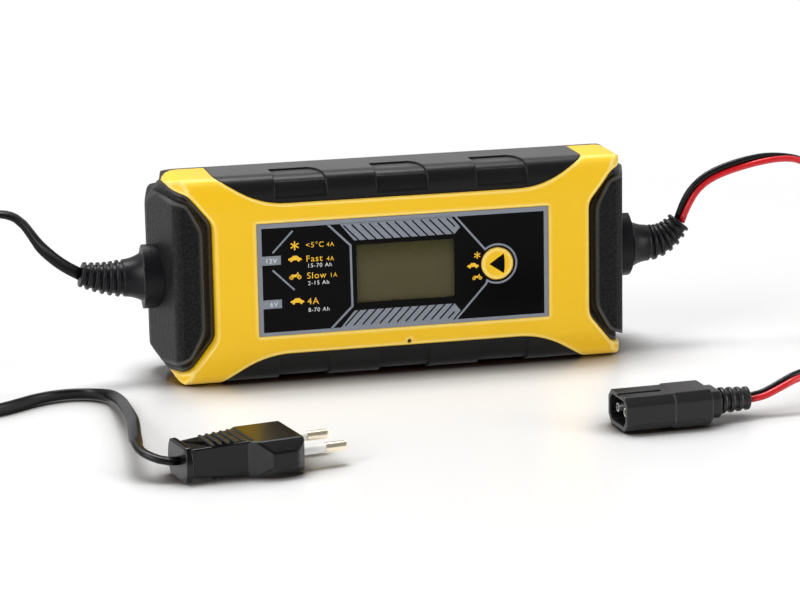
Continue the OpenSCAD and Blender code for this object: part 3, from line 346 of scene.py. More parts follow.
lead_rise = [
    (130.9, 1, 53.2), (133.3, 1, 59.4), (137, 1, 65.8), (141.6, 1, 70.3), (147.5, 1, 73.6),
    (156, 1, 76.4), (165.4, 1, 78.4), (174.4, 1, 79.3), (183.4, 1, 78.6), (190, 0.6, 76.2),
    (196, -0.4, 72), (201, -1.8, 66), (205.4, -3.2, 58.4), (209.6, -4.8, 50), (214, -6.6, 41.2),
    (218.4, -8.4, 32.6), (223.4, -10.2, 24.4), (229, -11.8, 17), (235, -12.8, 11.4),
    (241, -13, 9.2),
]  # fmt: skip
lead_run = [
    (241, -71, 3.6), (231, -71.3, 3.1), (221, -73.2, 2.5), (211, -77.2, 2.5), (202, -83, 2.5),
    (194, -89.6, 2.5), (186, -96.4, 2.5), (178, -103.2, 3.2), (170, -109.8, 5.2),
    (162, -116.2, 8), (154, -122, 11.2), (146.5, -126.6, 13.6), (140.5, -129.6, 14.2),
    (135.6, -131.4, 13.4), (130.6, -132.6, 11.6), (125.8, -133.4, 9.7), (121.2, -133.9, 8.2),
    (115.5, -134.1, 7.5),
]  # fmt: skip
lead_coil = coil_route((246, -42), 29, 2, 5, 1)
lead_points = smooth_route(lead_rise + list(reversed(lead_coil)) + lead_run, 0.0028)
lead_wide = wide_sides(
    lead_points,
    [(0, (-0.5, 0.75, 0.4)), (0.02, (-0.6, 0.1, 0.7)), (0.045, (-0.2, 0.25, 1)),
     (0.075, (0, 1, 0.15)), (0.15, (0, 0.6, 0.6)), (0.2, (0, 0, 1)), (0.83, (0, 0, 1)),
     (0.9, (0.2, 0.3, 1)), (0.94, (0, 0.45, 0.9)), (0.97, (0, 0.9, 0.4)), (1, (0, 1, 0.3))],
)  # fmt: skip
core_r = 1.4
round_core = [
    (core_r * math.cos(a) * mm, core_r * math.sin(a) * mm)
    for a in (math.radians(36 * k) for k in range(10))
]
battery_lead = sweep(
    "battery_lead",
    lead_points,
    lead_wide,
    [[(x + side * core_r * mm, y) for x, y in round_core] for side in (1, -1)],
)
# Extruded PVC insulation: brighter and glossier than the mains sheath.
lead_red, _ = start_material("pvc_lead_insulation_red")
sheath = add_node(
    lead_red, "BsdfPrincipled", {"Base Color": "#C8141E", "Roughness": 0.32, "IOR": 1.53}
)
finish_material(lead_red, sheath)
battery_lead.data.materials.append(cord_pvc)
battery_lead.data.materials.append(lead_red)
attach(battery_lead, "case")
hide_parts("battery_lead_rise", "battery_lead_coil", "battery_lead_run")

# ---------------------------------------------------------------- front shell
# Injection-moulded yellow ABS with a fine spark-eroded grain. Its edges along the bumpers
# and the end caps are rolled over, and the thin light lines along them are painted highlights.


def merged_copy(node, name):
    """A copy of a CAD solid whose loose triangles are merged into whole faces."""
    piece = bpy.data.objects.new(name, nodes[node].data.copy())
    bpy.context.scene.collection.objects.link(piece)
    piece.data.materials.clear()
    bpy.ops.object.select_all(action="DESELECT")
    piece.select_set(True)
    bpy.context.view_layer.objects.active = piece
    bpy.ops.mesh.customdata_custom_splitnormals_clear()
    bpy.ops.object.mode_set(mode="EDIT")
    bpy.ops.mesh.select_all(action="SELECT")
    bpy.ops.mesh.remove_doubles(threshold=1e-6)
    bpy.ops.mesh.dissolve_limited(angle_limit=math.radians(0.6))
    bpy.ops.object.mode_set(mode="OBJECT")
    return piece


def apply(piece):
    """Applies a piece's modifiers and smooths all but its edges sharper than 32 degrees."""
    bpy.ops.object.select_all(action="DESELECT")
    piece.select_set(True)
    bpy.context.view_layer.objects.active = piece
    for modifier in list(piece.modifiers):
        bpy.ops.object.modifier_apply(modifier=modifier.name)
    bpy.ops.object.shade_smooth_by_angle(angle=math.radians(32))
    flat_faces = piece.modifiers.new("flat_faces", "WEIGHTED_NORMAL")
    flat_faces.keep_sharp = True
    bpy.ops.object.modifier_apply(modifier=flat_faces.name)


def edge_slope(material, edge):
    """How far the normals of a Bevel node lean from the face's own: 1 away from any edge."""
    face = add_node(material, "NewGeometry")
    return add_node(
        material, "VectorMath", {"operation": "DOT_PRODUCT"}, {0: (edge, 0), 1: (face, "Normal")}
    )


front_shell = merged_copy("front_shell", "front_shell_moulding")
apply(front_shell)
yellow_abs, place = start_material("abs_moulded_yellow")
# Spark-eroded mould grain: the gloss breaks up softly, and edges turn over 1 mm or so.
grain = add_node(yellow_abs, "TexNoise", {"Scale": 1600, "Detail": 2}, {"Vector": place})
cloud = add_node(yellow_abs, "TexNoise", {"Scale": 22, "Detail": 3}, {"Vector": place})
tone = add_node(
    yellow_abs,
    "Mix",
    {"data_type": "RGBA", TONE_A: "#EFBC10", TONE_B: "#F4C417"},
    {0: (cloud, "Fac")},
)
gloss = add_node(
    yellow_abs, "MapRange", {"To Min": 0.36, "To Max": 0.46}, {"Value": (cloud, "Fac")}
)
# Paler lines are painted along the rolled edges as highlights, a little way in from the edge itself.
edge = add_node(yellow_abs, "Bevel", {"samples": 8, "Radius": 0.0012})
painted_line_bevel = add_node(yellow_abs, "Bevel", {"samples": 8, "Radius": 0.0024})
slope = edge_slope(yellow_abs, painted_line_bevel)
painted_edge_lines = add_node(yellow_abs, "ValToRGB", links={"Fac": (slope, "Value")})
marks = painted_edge_lines.color_ramp.elements
marks[0].position, marks[0].color = 0.9, (0, 0, 0, 1)
marks[1].position, marks[1].color = 0.9995, (0, 0, 0, 1)
for place_at in (0.965, 0.99):
    marks.new(place_at).color = (1, 1, 1, 1)
tone_with_painted_lines = add_node(
    yellow_abs,
    "Mix",
    {"data_type": "RGBA", TONE_B: "#FBE58C"},
    {0: (painted_edge_lines, "Color"), TONE_A: (tone, TONE)},
)
# Its rear edge, in the gap to the black half, is painted dark as the shade in that gap.
depth = add_node(yellow_abs, "SeparateXYZ", links={"Vector": place})
painted_seam_shade = add_node(
    yellow_abs, "MapRange", {"From Min": 0.0066, "From Max": 0.0068}, {"Value": (depth, "Y")}
)
tone_with_seam_shade = add_node(
    yellow_abs,
    "Mix",
    {"data_type": "RGBA", TONE_B: "#0A0A0B"},
    {0: (painted_seam_shade, 0), TONE_A: (tone_with_painted_lines, TONE)},
)
relief = add_node(
    yellow_abs,
    "Bump",
    {"Strength": 0.12, "Distance": 0.0001},
    {"Height": (grain, "Fac"), "Normal": (edge, 0)},
)
skin = add_node(
    yellow_abs,
    "BsdfPrincipled",
    {"IOR": 1.54, "Specular IOR Level": 0.35},
    {"Base Color": (tone_with_seam_shade, TONE), "Roughness": (gloss, 0), "Normal": (relief, 0)},
)
finish_material(yellow_abs, skin)
front_shell.data.materials.append(yellow_abs)
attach(front_shell, "case")
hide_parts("front_shell")

# ---------------------------------------------------------------- rear shell
# Black ABS half with a draft towards the back and swollen ends behind the caps. It is moulded
# with a coarse grain, and four screws hold it from behind.

rear_shell = merged_copy("rear_shell", "rear_shell_moulding")
apply(rear_shell)
rear_abs, place = start_material("abs_moulded_black")
# Coarser grain than the yellow half, so its black looks dry and a little grey.
grain = add_node(rear_abs, "TexNoise", {"Scale": 1100, "Detail": 3}, {"Vector": place})
edge = add_node(rear_abs, "Bevel", {"samples": 6, "Radius": 0.0008})
relief = add_node(
    rear_abs,
    "Bump",
    {"Strength": 0.3, "Distance": 0.00012},
    {"Height": (grain, "Fac"), "Normal": (edge, 0)},
)
tone = add_node(
    rear_abs,
    "Mix",
    {"data_type": "RGBA", TONE_A: "#0C0C0D", TONE_B: "#161617"},
    {0: (grain, "Fac")},
)
skin = add_node(
    rear_abs,
    "BsdfPrincipled",
    {"IOR": 1.54, "Roughness": 0.5, "Specular IOR Level": 0.2},
    {"Base Color": (tone, TONE), "Normal": (relief, 0)},
)
finish_material(rear_abs, skin)
rear_shell.data.materials.append(rear_abs)
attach(rear_shell, "case")
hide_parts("rear_shell")

# ---------------------------------------------------------------- bumpers
# Dark thermoplastic rubber moulded over the long edges of the front shell, with three sunken
# grip pads on each. It is smoother than the caps and shines along its rounded front edge.

bumper_rubber, place = start_material("tpe_rubber_satin_black")
# Satin rubber: a broad soft shine, with a slight cloudiness from handling.
grain = add_node(bumper_rubber, "TexNoise", {"Scale": 1300, "Detail": 2}, {"Vector": place})
cloud = add_node(bumper_rubber, "TexNoise", {"Scale": 30, "Detail": 3}, {"Vector": place})
gloss = add_node(
    bumper_rubber, "MapRange", {"To Min": 0.32, "To Max": 0.44}, {"Value": (cloud, "Fac")}
)
edge = add_node(bumper_rubber, "Bevel", {"samples": 8, "Radius": 0.0008})
relief = add_node(
    bumper_rubber,
    "Bump",
    {"Strength": 0.12, "Distance": 0.0001},
    {"Height": (grain, "Fac"), "Normal": (edge, 0)},
)
# The steps of the grip pads get a little painted shade in their colour.
hollow = add_node(
    bumper_rubber, "AmbientOcclusion", {"samples": 6, "only_local": True, "Distance": 0.0012}
)
tone = add_node(
    bumper_rubber,
    "Mix",
    {"data_type": "RGBA", TONE_A: "#000000", TONE_B: "#0C0C0D"},
    {0: (hollow, "AO")},
)
skin = add_node(
    bumper_rubber,
    "BsdfPrincipled",
    {"IOR": 1.52, "Specular IOR Level": 0.24, "Sheen Weight": 0.2, "Sheen Roughness": 0.35},
    {"Base Color": (tone, TONE), "Roughness": (gloss, 0), "Normal": (relief, 0)},
)
finish_material(bumper_rubber, skin)
for side in ("top", "bottom"):
    bumper = merged_copy(side + "_bumper", side + "_bumper_moulding")
    apply(bumper)
    bumper.data.materials.append(bumper_rubber)
    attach(bumper, "case")
    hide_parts(side + "_bumper")

# ---------------------------------------------------------------- end caps
# Harder black rubber caps over both ends of the case: a raised panel with a sloping border
# on a lower rim. They are moulded with a coarse leather-like grain and snap over the core.


def paint_shade_in_hollows(material, reach, start, end, dark, colour):
    """A colour painted darker in hollows as shade, between two shares of the space left open in reach.
    """
    hollow = add_node(
        material, "AmbientOcclusion", {"samples": 6, "only_local": True, "Distance": reach}
    )
    depth = add_node(
        material, "MapRange", {"From Min": start, "From Max": end}, {"Value": (hollow, "AO")}
    )
    return add_node(
        material,
        "Mix",
        {"data_type": "RGBA", TONE_A: dark},
        {0: (depth, 0), TONE_B: (colour, TONE)},
    )


cap_rubber, place = start_material("tpe_rubber_grained_black")
# Coarse mould grain of 0.6 to 1 mm, with the glints of its facets painted as fine grey speckles.
grain = add_node(
    cap_rubber,
    "TexNoise",
    {"Scale": 950, "Detail": 3, "Roughness": 0.6},
    {"Vector": place},
)
painted_glint = add_node(
    cap_rubber, "MapRange", {"From Min": 0.4, "From Max": 0.64}, {"Value": (grain, "Fac")}
)
tone = add_node(
    cap_rubber, "Mix", {"data_type": "RGBA", TONE_A: "#030303", TONE_B: "#1F1F21"}, {0: (painted_glint, 0)}
)
edge = add_node(cap_rubber, "Bevel", {"samples": 8, "Radius": 0.0028})
relief = add_node(
    cap_rubber,
    "Bump",
    {"Strength": 0.9, "Distance": 0.0004},
    {"Height": (grain, "Fac"), "Normal": (edge, 0)},
)
# Edges get a painted grey highlight, more so towards the front.
slope = edge_slope(cap_rubber, edge)
parts = add_node(cap_rubber, "SeparateXYZ", links={"Vector": place})
front = add_node(
    cap_rubber,
    "MapRange",
    {"From Min": 0.0, "From Max": -0.014, "To Min": 0.15, "To Max": 0.9},
    {"Value": (parts, "Y")},
)
painted_edge_highlight = add_node(
    cap_rubber,
    "MapRange",
    {"From Min": 0.9995, "From Max": 0.975},
    {"Value": (slope, "Value"), "To Max": (front, 0)},
)
tone_with_painted_highlight = add_node(
    cap_rubber,
    "Mix",
    {"data_type": "RGBA", TONE_B: "#5E5E60"},
    {0: (painted_edge_highlight, 0), TONE_A: (tone, TONE)},
)
# Its hollows get painted shade.
shade = paint_shade_in_hollows(cap_rubber, 0.0022, 0.55, 0.95, "#020202", tone_with_painted_highlight)
skin = add_node(
    cap_rubber,
    "BsdfPrincipled",
    {
        "IOR": 1.52,
        "Roughness": 0.42,
        "Specular IOR Level": 0.14,
        "Sheen Weight": 0.06,
        "Sheen Roughness": 0.35,
    },
    {"Base Color": (shade, TONE), "Normal": (relief, 0)},
)
finish_material(cap_rubber, skin)

for side in ("left", "right"):
    cap = merged_copy(side + "_end_cap", side + "_cap_moulding")
    apply(cap)
    cap.data.materials.append(cap_rubber)
    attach(cap, "case")
    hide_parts(side + "_end_cap")

# ---------------------------------------------------------------- gasket and case screws
# A silicone ring lies between the two shells. Four zinc-plated pan-head screws pull the rear
# shell on from behind.


def dress(material, slot, *names):
    """Gives CAD solids that keep their shape a material; the slot argument is not used."""
    for name in names:
        nodes[name].data.materials.clear()
        nodes[name].data.materials.append(material)


# Moulded silicone: dull grey with a faint cloudiness.
gasket_silicone = fine_material(
    "silicone_gasket_grey",
    {"Scale": 260, "Detail": 2},
    {"IOR": 1.41, "Roughness": 0.55},
    tones=("#4A4B4C", "#57585A"),
)
dress(gasket_silicone, "gasket_silicone", "case_gasket")

# Bright zinc plating with a faint blue tint and uneven shine.
screw_steel = fine_material(
    "steel_zinc_plated",
    {"Scale": 900, "Detail": 3},
    {"Base Color": "#C6CACD", "Metallic": 1.0},
    gloss=(0.22, 0.4),
)
dress(screw_steel, "screw_steel", "case_screws", "display_screws", "board_screws")

# ---------------------------------------------------------------- label
# A printed polycarbonate film in its recess: gloss black with a grey border, a frame of grey
# lines and hatched bands round the display, and small yellow signs for the charging modes.

# Back-printed film: deep black under a clear, anti-glare coat with little mirror shine.
label_film = fine_material(
    "polycarbonate_film_black",
    {"Scale": 60, "Detail": 2},
    {"Base Color": "#050506", "IOR": 1.58, "Specular IOR Level": 0.06},
    gloss=(0.2, 0.28),
)
dress(label_film, "label_film", "label_panel")


def screen_ink(colour, *tones):
    """Matt screen ink behind the film: an even colour with the film's own faint gloss."""
    grit = {"Scale": 500, "Detail": 2}
    return fine_material("screen_ink_" + colour, grit, {"IOR": 1.5, "Roughness": 0.35}, tones=tones)


ink_grey = screen_ink("grey", "#767C86", "#828893")
ink_yellow = screen_ink("yellow", "#EFB81E", "#F5C22C")
ink_white = screen_ink("white", "#D4D6D8", "#DEE0E2")

# Places on the label are in millimetres, from a point print_z up the middle of the case.
label_y = -22.7
print_z = 43.5


def strip(points, width):
    """Outline of a line of even width along points."""
    p = [Vector(q) for q in points]
    left, right_side = [], []
    for i, q in enumerate(p):
        ahead_dir = (p[i + 1] - q).normalized() if i < len(p) - 1 else None
        back_dir = (q - p[i - 1]).normalized() if i else None
        a, b = back_dir or ahead_dir, ahead_dir or back_dir
        mid = (a + b).normalized()
        side = Vector((-mid.y, mid.x)) * width / 2 / max(mid.dot(a), 0.3)
        left.append(q + side)
        right_side.append(q - side)
    return left + right_side[::-1]


def disc(x, z, r, sides):
    turns = [2 * math.pi * k / sides for k in range(sides)]
    return [(x + r * math.cos(a), z + r * math.sin(a)) for a in turns]


def settle(piece, x, z, y):
    """Makes a flat drawing a mesh, stands it up facing the front, and applies its place."""
    bpy.ops.object.select_all(action="DESELECT")
    piece.select_set(True)
    bpy.context.view_layer.objects.active = piece
    bpy.ops.object.convert(target="MESH")
    piece.rotation_euler = (math.pi / 2, 0, 0)
    piece.location = (x * mm, y * mm, z * mm)
    bpy.ops.object.transform_apply(location=True, rotation=True, scale=True)


def printed(name, shapes, ink, y=label_y, body="case", proud=0.03):
    """Flat printed shapes: outlines in X and Z on the label, filled, a film's height proud."""
    drawing = bpy.data.curves.new(name, "CURVE")
    drawing.dimensions = "2D"
    drawing.fill_mode = "BOTH"
    drawing.extrude = 0.01 * mm
    for shape in shapes:
        line = drawing.splines.new("POLY")
        line.points.add(len(shape) - 1)
        line.use_cyclic_u = True
        for point, (x, z) in zip(line.points, shape):
            point.co = (x * mm, z * mm, 0, 1)
    piece = bpy.data.objects.new(name, drawing)
    bpy.context.scene.collection.objects.link(piece)
    settle(piece, 0, print_z, y - proud)
    piece.data.materials.append(ink)
    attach(piece, body)


border_out = [(-63.9, -23.7), (63.9, -23.7), (63.9, 25.3), (-63.9, 25.3)]
border_in = [(-61.9, -21.9), (61.9, -21.9), (61.9, 23.3), (-61.9, 23.3)]
ring_x, ring_z = 41, 1.5
around = [
    (ring_x + 8.5 * math.cos(math.radians(a)), ring_z + 8.5 * math.sin(math.radians(a)))
    for a in range(129, -124, -12)
]
frame_lines = [
    strip([(-33.2, 23.4), (-23.5, 13.8), (-23.2, -12.8), (-32.6, -22)], 0.9),
    strip([(22.6, 23.4)] + around + [(36, -7), (25.6, -18.4), (22.2, -22)], 0.85),
    strip([(-48.4, 21.7), (-57.3, 12.6)], 0.75),
    strip([(-57.5, 5.2), (-48.2, -4.0)], 0.75),
]
tabs = [
    [(-62, low), (-53.8, low), (-53.8, high), (-62, high)]
    for low, high in ((7.4, 11.3), (-11.5, -7.7))
]
bands = [
    [(-28.2, 23.5), (-21.9, 15.8), (22.2, 15.8), (24.7, 18.6), (20.6, 23.5)],
    [(-28.6, -22.1), (-22.3, -14.8), (21.8, -14.8), (24.4, -18), (20.8, -22.1)],
]
stripes = []
stripe_w = 0.62
for k in range(13):
    x = -21.5 + 3.78 * k
    upper = [(x - 5.1, 22.8), (min(x + 1.7, 23.9), 15.7)]
    lower = [(x - 5, -21.2), (x + 1.3, -14.7)]
    if k == 0:
        upper = [(x - 4.9, 22.6), (x + 1.7, 15.7)]
    if k == 12:
        upper = [(x - 5.1, 22.8), (x - 1.4, 18.9)]
        lower = [(x - 5, -21.2), (x - 2.2, -18.4)]
    stripes += [strip(upper, stripe_w), strip(lower, stripe_w)]
printed("label_border", [border_out, border_in], ink_grey)
for number, shape in enumerate(frame_lines + tabs + bands):
    printed("label_line_%d" % number, [shape], ink_grey, proud=0.03 + 0.002 * (number % 2))
for number, shape in enumerate(stripes):
    printed("label_stripe_%d" % number, [shape], label_film, proud=0.05)


def snowflake(x, z, r):
    """Three crossed bars and a small disc."""
    arms = []
    for k in range(3):
        a = math.radians(30 + 60 * k)
        dx, dz = r * math.cos(a), r * math.sin(a)
        arms.append(strip([(x - dx, z - dz), (x + dx, z + dz)], r * 0.3))
    return arms + [disc(x, z, r * 0.3, 8)]


def motor_car(x, z, w):
    """A car from the side: its body and two wheels."""
    body = [(-0.5, -0.06), (-0.47, 0.08), (-0.3, 0.12), (-0.14, 0.26)]
    body += [(0.16, 0.26), (0.3, 0.12), (0.48, 0.06), (0.5, -0.08)]
    outline = [(x + w * a, z + w * b) for a, b in body]
    return [outline] + [disc(x + w * s, z - w * 0.09, w * 0.1, 12) for s in (-0.27, 0.28)]


def motorcycle(x, z, w):
    """The rings of two wheels, and the filled shapes of the frame and the seat."""
    wheels = []
    for s in (-0.32, 0.32):
        wheels += [disc(x + w * s, z - w * 0.1, w * r, 14) for r in (0.17, 0.09)]
    tubes = [(-0.32, -0.1), (-0.12, 0.08), (0.14, 0.06), (0.2, 0.24), (0.32, -0.1)]
    seat = [(-0.36, 0.16), (-0.08, 0.12), (0.14, 0.16), (0.08, -0.1), (-0.1, -0.08)]
    tubes, seat = ([(x + w * a, z + w * b) for a, b in shape] for shape in (tubes, seat))
    return wheels, [strip(tubes, w * 0.07), seat]


signs = snowflake(-47.7, 15.2, 1.95) + motor_car(-47.7, 9.3, 5.9) + motor_car(-47.1, -9.2, 5.9)
signs_small = snowflake(32.1, 5.7, 1.55) + motor_car(30.2, 1.1, 5.2)
big_wheels, big_frame = motorcycle(-47.7, 2.0, 5.4)
small_wheels, small_frame = motorcycle(32, -3.9, 4.4)
for number, shape in enumerate(signs + signs_small + big_frame + small_frame):
    printed("mode_sign_%d" % number, [shape], ink_yellow, proud=0.03 + 0.002 * (number % 3))
for number in range(2):
    printed("wheel_sign_%d" % number, big_wheels[2 * number : 2 * number + 2], ink_yellow)
    printed("small_wheel_sign_%d" % number, small_wheels[2 * number : 2 * number + 2], ink_yellow)


def figures(name, words, x, z, size, ink, proud=0.03):
    """Printed figures, their left end at x and their foot at z."""
    writing = bpy.data.curves.new(name, "FONT")
    writing.body = words
    writing.size = size * mm
    writing.extrude = 0.01 * mm
    writing.space_character = 1.16
    piece = bpy.data.objects.new(name, writing)
    bpy.context.scene.collection.objects.link(piece)
    settle(piece, x, print_z + z, label_y - proud)
    piece.data.materials.append(ink)
    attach(piece, "case")


figures("figures_12v", "12V", -60.6, 8.2, 2.9, ink_white, 0.05)
figures("figures_6v", "6V", -59.0, -10.7, 2.9, ink_white, 0.05)
figures("figures_cold", "<5°C", -43.0, 14.0, 3.3, ink_yellow)
figures("figures_cold_amps", "4A", -33.9, 14.0, 2.6, ink_yellow)
figures("figures_fast", "Fast", -43.0, 7.9, 3.9, ink_yellow)
figures("figures_fast_amps", "4A", -34.0, 7.8, 2.6, ink_yellow)
figures("figures_fast_range", "15-70 Ah", -42.5, 5.3, 2.5, ink_white)
figures("figures_slow", "Slow", -42.8, 0.5, 3.9, ink_yellow)
figures("figures_slow_amps", "1A", -32.8, 0.6, 2.6, ink_yellow)
figures("figures_slow_range", "2-15 Ah", -42.4, -2.3, 2.5, ink_white)
figures("figures_six", "4A", -42.8, -10.7, 4.0, ink_yellow)
figures("figures_six_range", "8-70 Ah", -42.5, -14.0, 2.5, ink_white)

# ---------------------------------------------------------------- display
# A clear acrylic pane lies in the label's window over a liquid crystal glass. Switched off,
# the crystal shows its dull olive polariser; a white diffuser lies behind it.

# Clear acrylic with an anti-glare coating: it mirrors little of what stands before it.
clear_pane, _ = start_material("acrylic_clear")
skin = add_node(
    clear_pane,
    "BsdfPrincipled",
    {
        "Base Color": "#F2F0EA",
        "IOR": 1.2,
        "Roughness": 0.03,
        "Transmission Weight": 1.0,
        "Specular IOR Level": 0.03,
    },
)
finish_material(clear_pane, skin)
dress(clear_pane, "clear_pane", "display_window")

# Polariser film on glass: olive brown, darker towards its upper edge.
lcd_glass, place = start_material("liquid_crystal_glass_olive")
parts = add_node(lcd_glass, "SeparateXYZ", links={0: place})
fall = add_node(
    lcd_glass, "MapRange", {"From Min": 0.057, "From Max": 0.047}, {"Value": (parts, "Z")}
)
tone = add_node(
    lcd_glass, "Mix", {"data_type": "RGBA", TONE_A: "#474312", TONE_B: "#666042"}, {0: (fall, 0)}
)
skin = add_node(
    lcd_glass,
    "BsdfPrincipled",
    {"IOR": 1.5, "Roughness": 0.3, "Specular IOR Level": 0.05},
    {"Base Color": (tone, TONE)},
)
finish_material(lcd_glass, skin)
dress(lcd_glass, "lcd_glass", "display_glass")

# Milky light guide: white with a faint bloom.
diffuser_white = fine_material(
    "diffuser_polystyrene_white",
    {"Scale": 120, "Detail": 2},
    {"IOR": 1.59, "Roughness": 0.4},
    tones=("#E4E5E2", "#EFEFEC"),
)
dress(diffuser_white, "diffuser_white", "display_backlight")

# ---------------------------------------------------------------- mode button
# A round yellow ABS cap in the label, with a printed black triangle. It presses a tact
# switch on the display board through a short plunger.


def round_edges(piece, radius, share, segments=3, sharp=25):
    """Rounds outer edges sharper than so many degrees. share tells how much of the radius an
    edge gets, from its middle in millimetres."""
    work = bmesh.new()
    work.from_mesh(piece.data)
    weight = work.edges.layers.float.new("bevel_weight_edge")
    for edge in work.edges:
        outer = len(edge.link_faces) == 2 and edge.is_convex
        if outer and edge.calc_face_angle(0) > math.radians(sharp):
            edge[weight] = share((edge.verts[0].co + edge.verts[1].co) / 2 / mm)
    work.to_mesh(piece.data)
    work.free()
    bevel = piece.modifiers.new("edge_radius", "BEVEL")
    bevel.limit_method = "WEIGHT"
    bevel.width = radius * mm
    bevel.segments = segments
    bevel.use_clamp_overlap = False
    apply(piece)


button = merged_copy("mode_button", "mode_button_moulding")
round_edges(button, 0.5, lambda at: 1 if at.y < -22 else 0)
button.data.materials.append(yellow_abs)
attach(button, "button")
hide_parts("mode_button")
back = [math.radians(a) for a in range(-60, 61, 15)]
triangle = [(37.4, ring_z)] + [(43.3 + 0.9 * math.cos(a), ring_z + 5.0 * math.sin(a)) for a in back]
printed("button_triangle", [triangle], label_film, y=-23.1, body="button", proud=0.02)

# Glass-filled nylon: matt black with faint fibre marks.
switch_black = fine_material(
    "nylon_glass_filled_black",
    {"Scale": 1800, "Detail": 3},
    {"Base Color": "#1B1B1C", "IOR": 1.53, "Roughness": 0.5},
    bump=(0.2, 0.0001),
)
dress(switch_black, "switch_black", "switch_plunger", "button_switch", "cord_clamps")

# ---------------------------------------------------------------- status lamp
# A small red lamp whose dark lens shows in a hole of the lower yellow band.

# Tinted epoxy, off: dark red with a clear gloss.
lamp_red = fine_material(
    "epoxy_lens_red",
    {"Scale": 900, "Detail": 1},
    {"IOR": 1.55, "Roughness": 0.12},
    tones=("#3C0608", "#5A0A0C"),
)
dress(lamp_red, "lamp_red", "status_led")

# ---------------------------------------------------------------- glands
# Moulded PVC strain reliefs: a collar against the cap, a cone with hollow sides, and a bent
# tail of ribs that lets the cord turn gently.

gland_pvc, place = start_material("pvc_moulded_soft_black")
# Soft PVC with a coarse sparkle on the collar's flats, painted grey highlights along its edges and
# painted shade in its hollows.
grain = add_node(gland_pvc, "TexNoise", {"Scale": 1000, "Detail": 3}, {"Vector": place})
relief = add_node(
    gland_pvc, "Bump", {"Strength": 0.3, "Distance": 0.00015}, {"Height": (grain, "Fac")}
)
gloss = add_node(gland_pvc, "MapRange", {"To Min": 0.3, "To Max": 0.5}, {"Value": (grain, "Fac")})
slope = edge_slope(gland_pvc, add_node(gland_pvc, "Bevel", {"samples": 6, "Radius": 0.0006}))
painted_edge_highlight = add_node(
    gland_pvc,
    "MapRange",
    {"From Min": 0.995, "From Max": 0.93, "To Max": 0.8},
    {"Value": (slope, "Value")},
)
tone = add_node(
    gland_pvc, "Mix", {"data_type": "RGBA", TONE_A: "#0D0D11", TONE_B: "#46464B"}, {0: (painted_edge_highlight, 0)}
)
shade = paint_shade_in_hollows(gland_pvc, 0.002, 0.5, 0.9, "#010101", tone)
skin = add_node(
    gland_pvc,
    "BsdfPrincipled",
    {"IOR": 1.53, "Specular IOR Level": 0.2},
    {"Base Color": (shade, TONE), "Roughness": (gloss, 0), "Normal": (relief, 0)},
)
finish_material(gland_pvc, skin)
for side in ("mains", "battery"):
    gland = merged_copy(side + "_gland", side + "_gland_moulding")
    round_edges(gland, 0.5, lambda at: 1 if abs(at.x) > 101 else 0, 2, 30)
    gland.data.materials.append(gland_pvc)
    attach(gland, "case")
    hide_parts(side + "_gland")

# ---------------------------------------------------------------- mains plug
# A flat two-pin plug moulded on the cord: a six-sided front block, a ribbed taper and an
# end flange. The nickel-plated pins have white insulating collars.

# Harder, glossier PVC than the glands.
plug_pvc = fine_material(
    "pvc_moulded_hard_black",
    {"Scale": 700, "Detail": 2},
    {"Base Color": "#050506", "IOR": 1.53, "Specular IOR Level": 0.32},
    gloss=(0.2, 0.3),
    bump=(0.08, 0.0001),
)
mains_plug = merged_copy("mains_plug", "mains_plug_moulding")
round_edges(mains_plug, 0.7, lambda at: 1, 3, 22)
mains_plug.data.materials.append(plug_pvc)
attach(mains_plug, "case")
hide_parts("mains_plug")

# Nickel plating: warm grey metal with fine turning marks.
pin_nickel = fine_material(
    "brass_nickel_plated",
    {"Scale": 2200, "Detail": 2},
    {"Base Color": "#FBEFD6", "Metallic": 1.0},
    gloss=(0.16, 0.3),
)
dress(pin_nickel, "pin_nickel", "plug_pins")

# Moulded polyamide sleeve: milky white with a soft gloss.
collar_white = fine_material(
    "polyamide_white",
    {"Scale": 700, "Detail": 2},
    {"IOR": 1.53, "Roughness": 0.35},
    tones=("#DAD9D4", "#E8E7E3"),
)
dress(collar_white, "collar_white", "pin_collars")

# ---------------------------------------------------------------- battery connector
# A two-pole quick connector: an open shroud with a keyway, a thicker grip and a short ribbed
# tail. Two plated sleeves stand inside the shroud.

connector_pa, place = start_material("polyamide_moulded_dark_grey")
# Polyamide with a satin skin, greyer than the cords, with painted highlights on its rims and painted
# shade inside.
grain = add_node(connector_pa, "TexNoise", {"Scale": 1100, "Detail": 2}, {"Vector": place})
gloss = add_node(
    connector_pa, "MapRange", {"To Min": 0.3, "To Max": 0.4}, {"Value": (grain, "Fac")}
)
relief = add_node(
    connector_pa, "Bump", {"Strength": 0.12, "Distance": 0.0001}, {"Height": (grain, "Fac")}
)
slope = edge_slope(connector_pa, add_node(connector_pa, "Bevel", {"samples": 6, "Radius": 0.0007}))
painted_edge_highlight = add_node(
    connector_pa,
    "MapRange",
    {"From Min": 0.995, "From Max": 0.9, "To Max": 0.9},
    {"Value": (slope, "Value")},
)
tone = add_node(
    connector_pa, "Mix", {"data_type": "RGBA", TONE_A: "#101011", TONE_B: "#5A5A5C"}, {0: (painted_edge_highlight, 0)}
)
shade = paint_shade_in_hollows(connector_pa, 0.003, 0.45, 0.85, "#010101", tone)
skin = add_node(
    connector_pa,
    "BsdfPrincipled",
    {"IOR": 1.53, "Specular IOR Level": 0.4},
    {"Base Color": (shade, TONE), "Roughness": (gloss, 0), "Normal": (relief, 0)},
)
finish_material(connector_pa, skin)
battery_connector = merged_copy("battery_connector", "battery_connector_moulding")
round_edges(battery_connector, 0.5, lambda at: 1, 2, 25)
battery_connector.data.materials.append(connector_pa)
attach(battery_connector, "case")
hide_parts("battery_connector")

# Tin plating: paler and duller than the nickel pins.
contact_metal = fine_material(
    "brass_tin_plated",
    {"Scale": 1900, "Detail": 2},
    {"Base Color": "#D3D3D0", "Metallic": 1.0},
    gloss=(0.24, 0.4),
)
contact_sleeves = merged_copy("connector_contacts", "contact_sleeves")
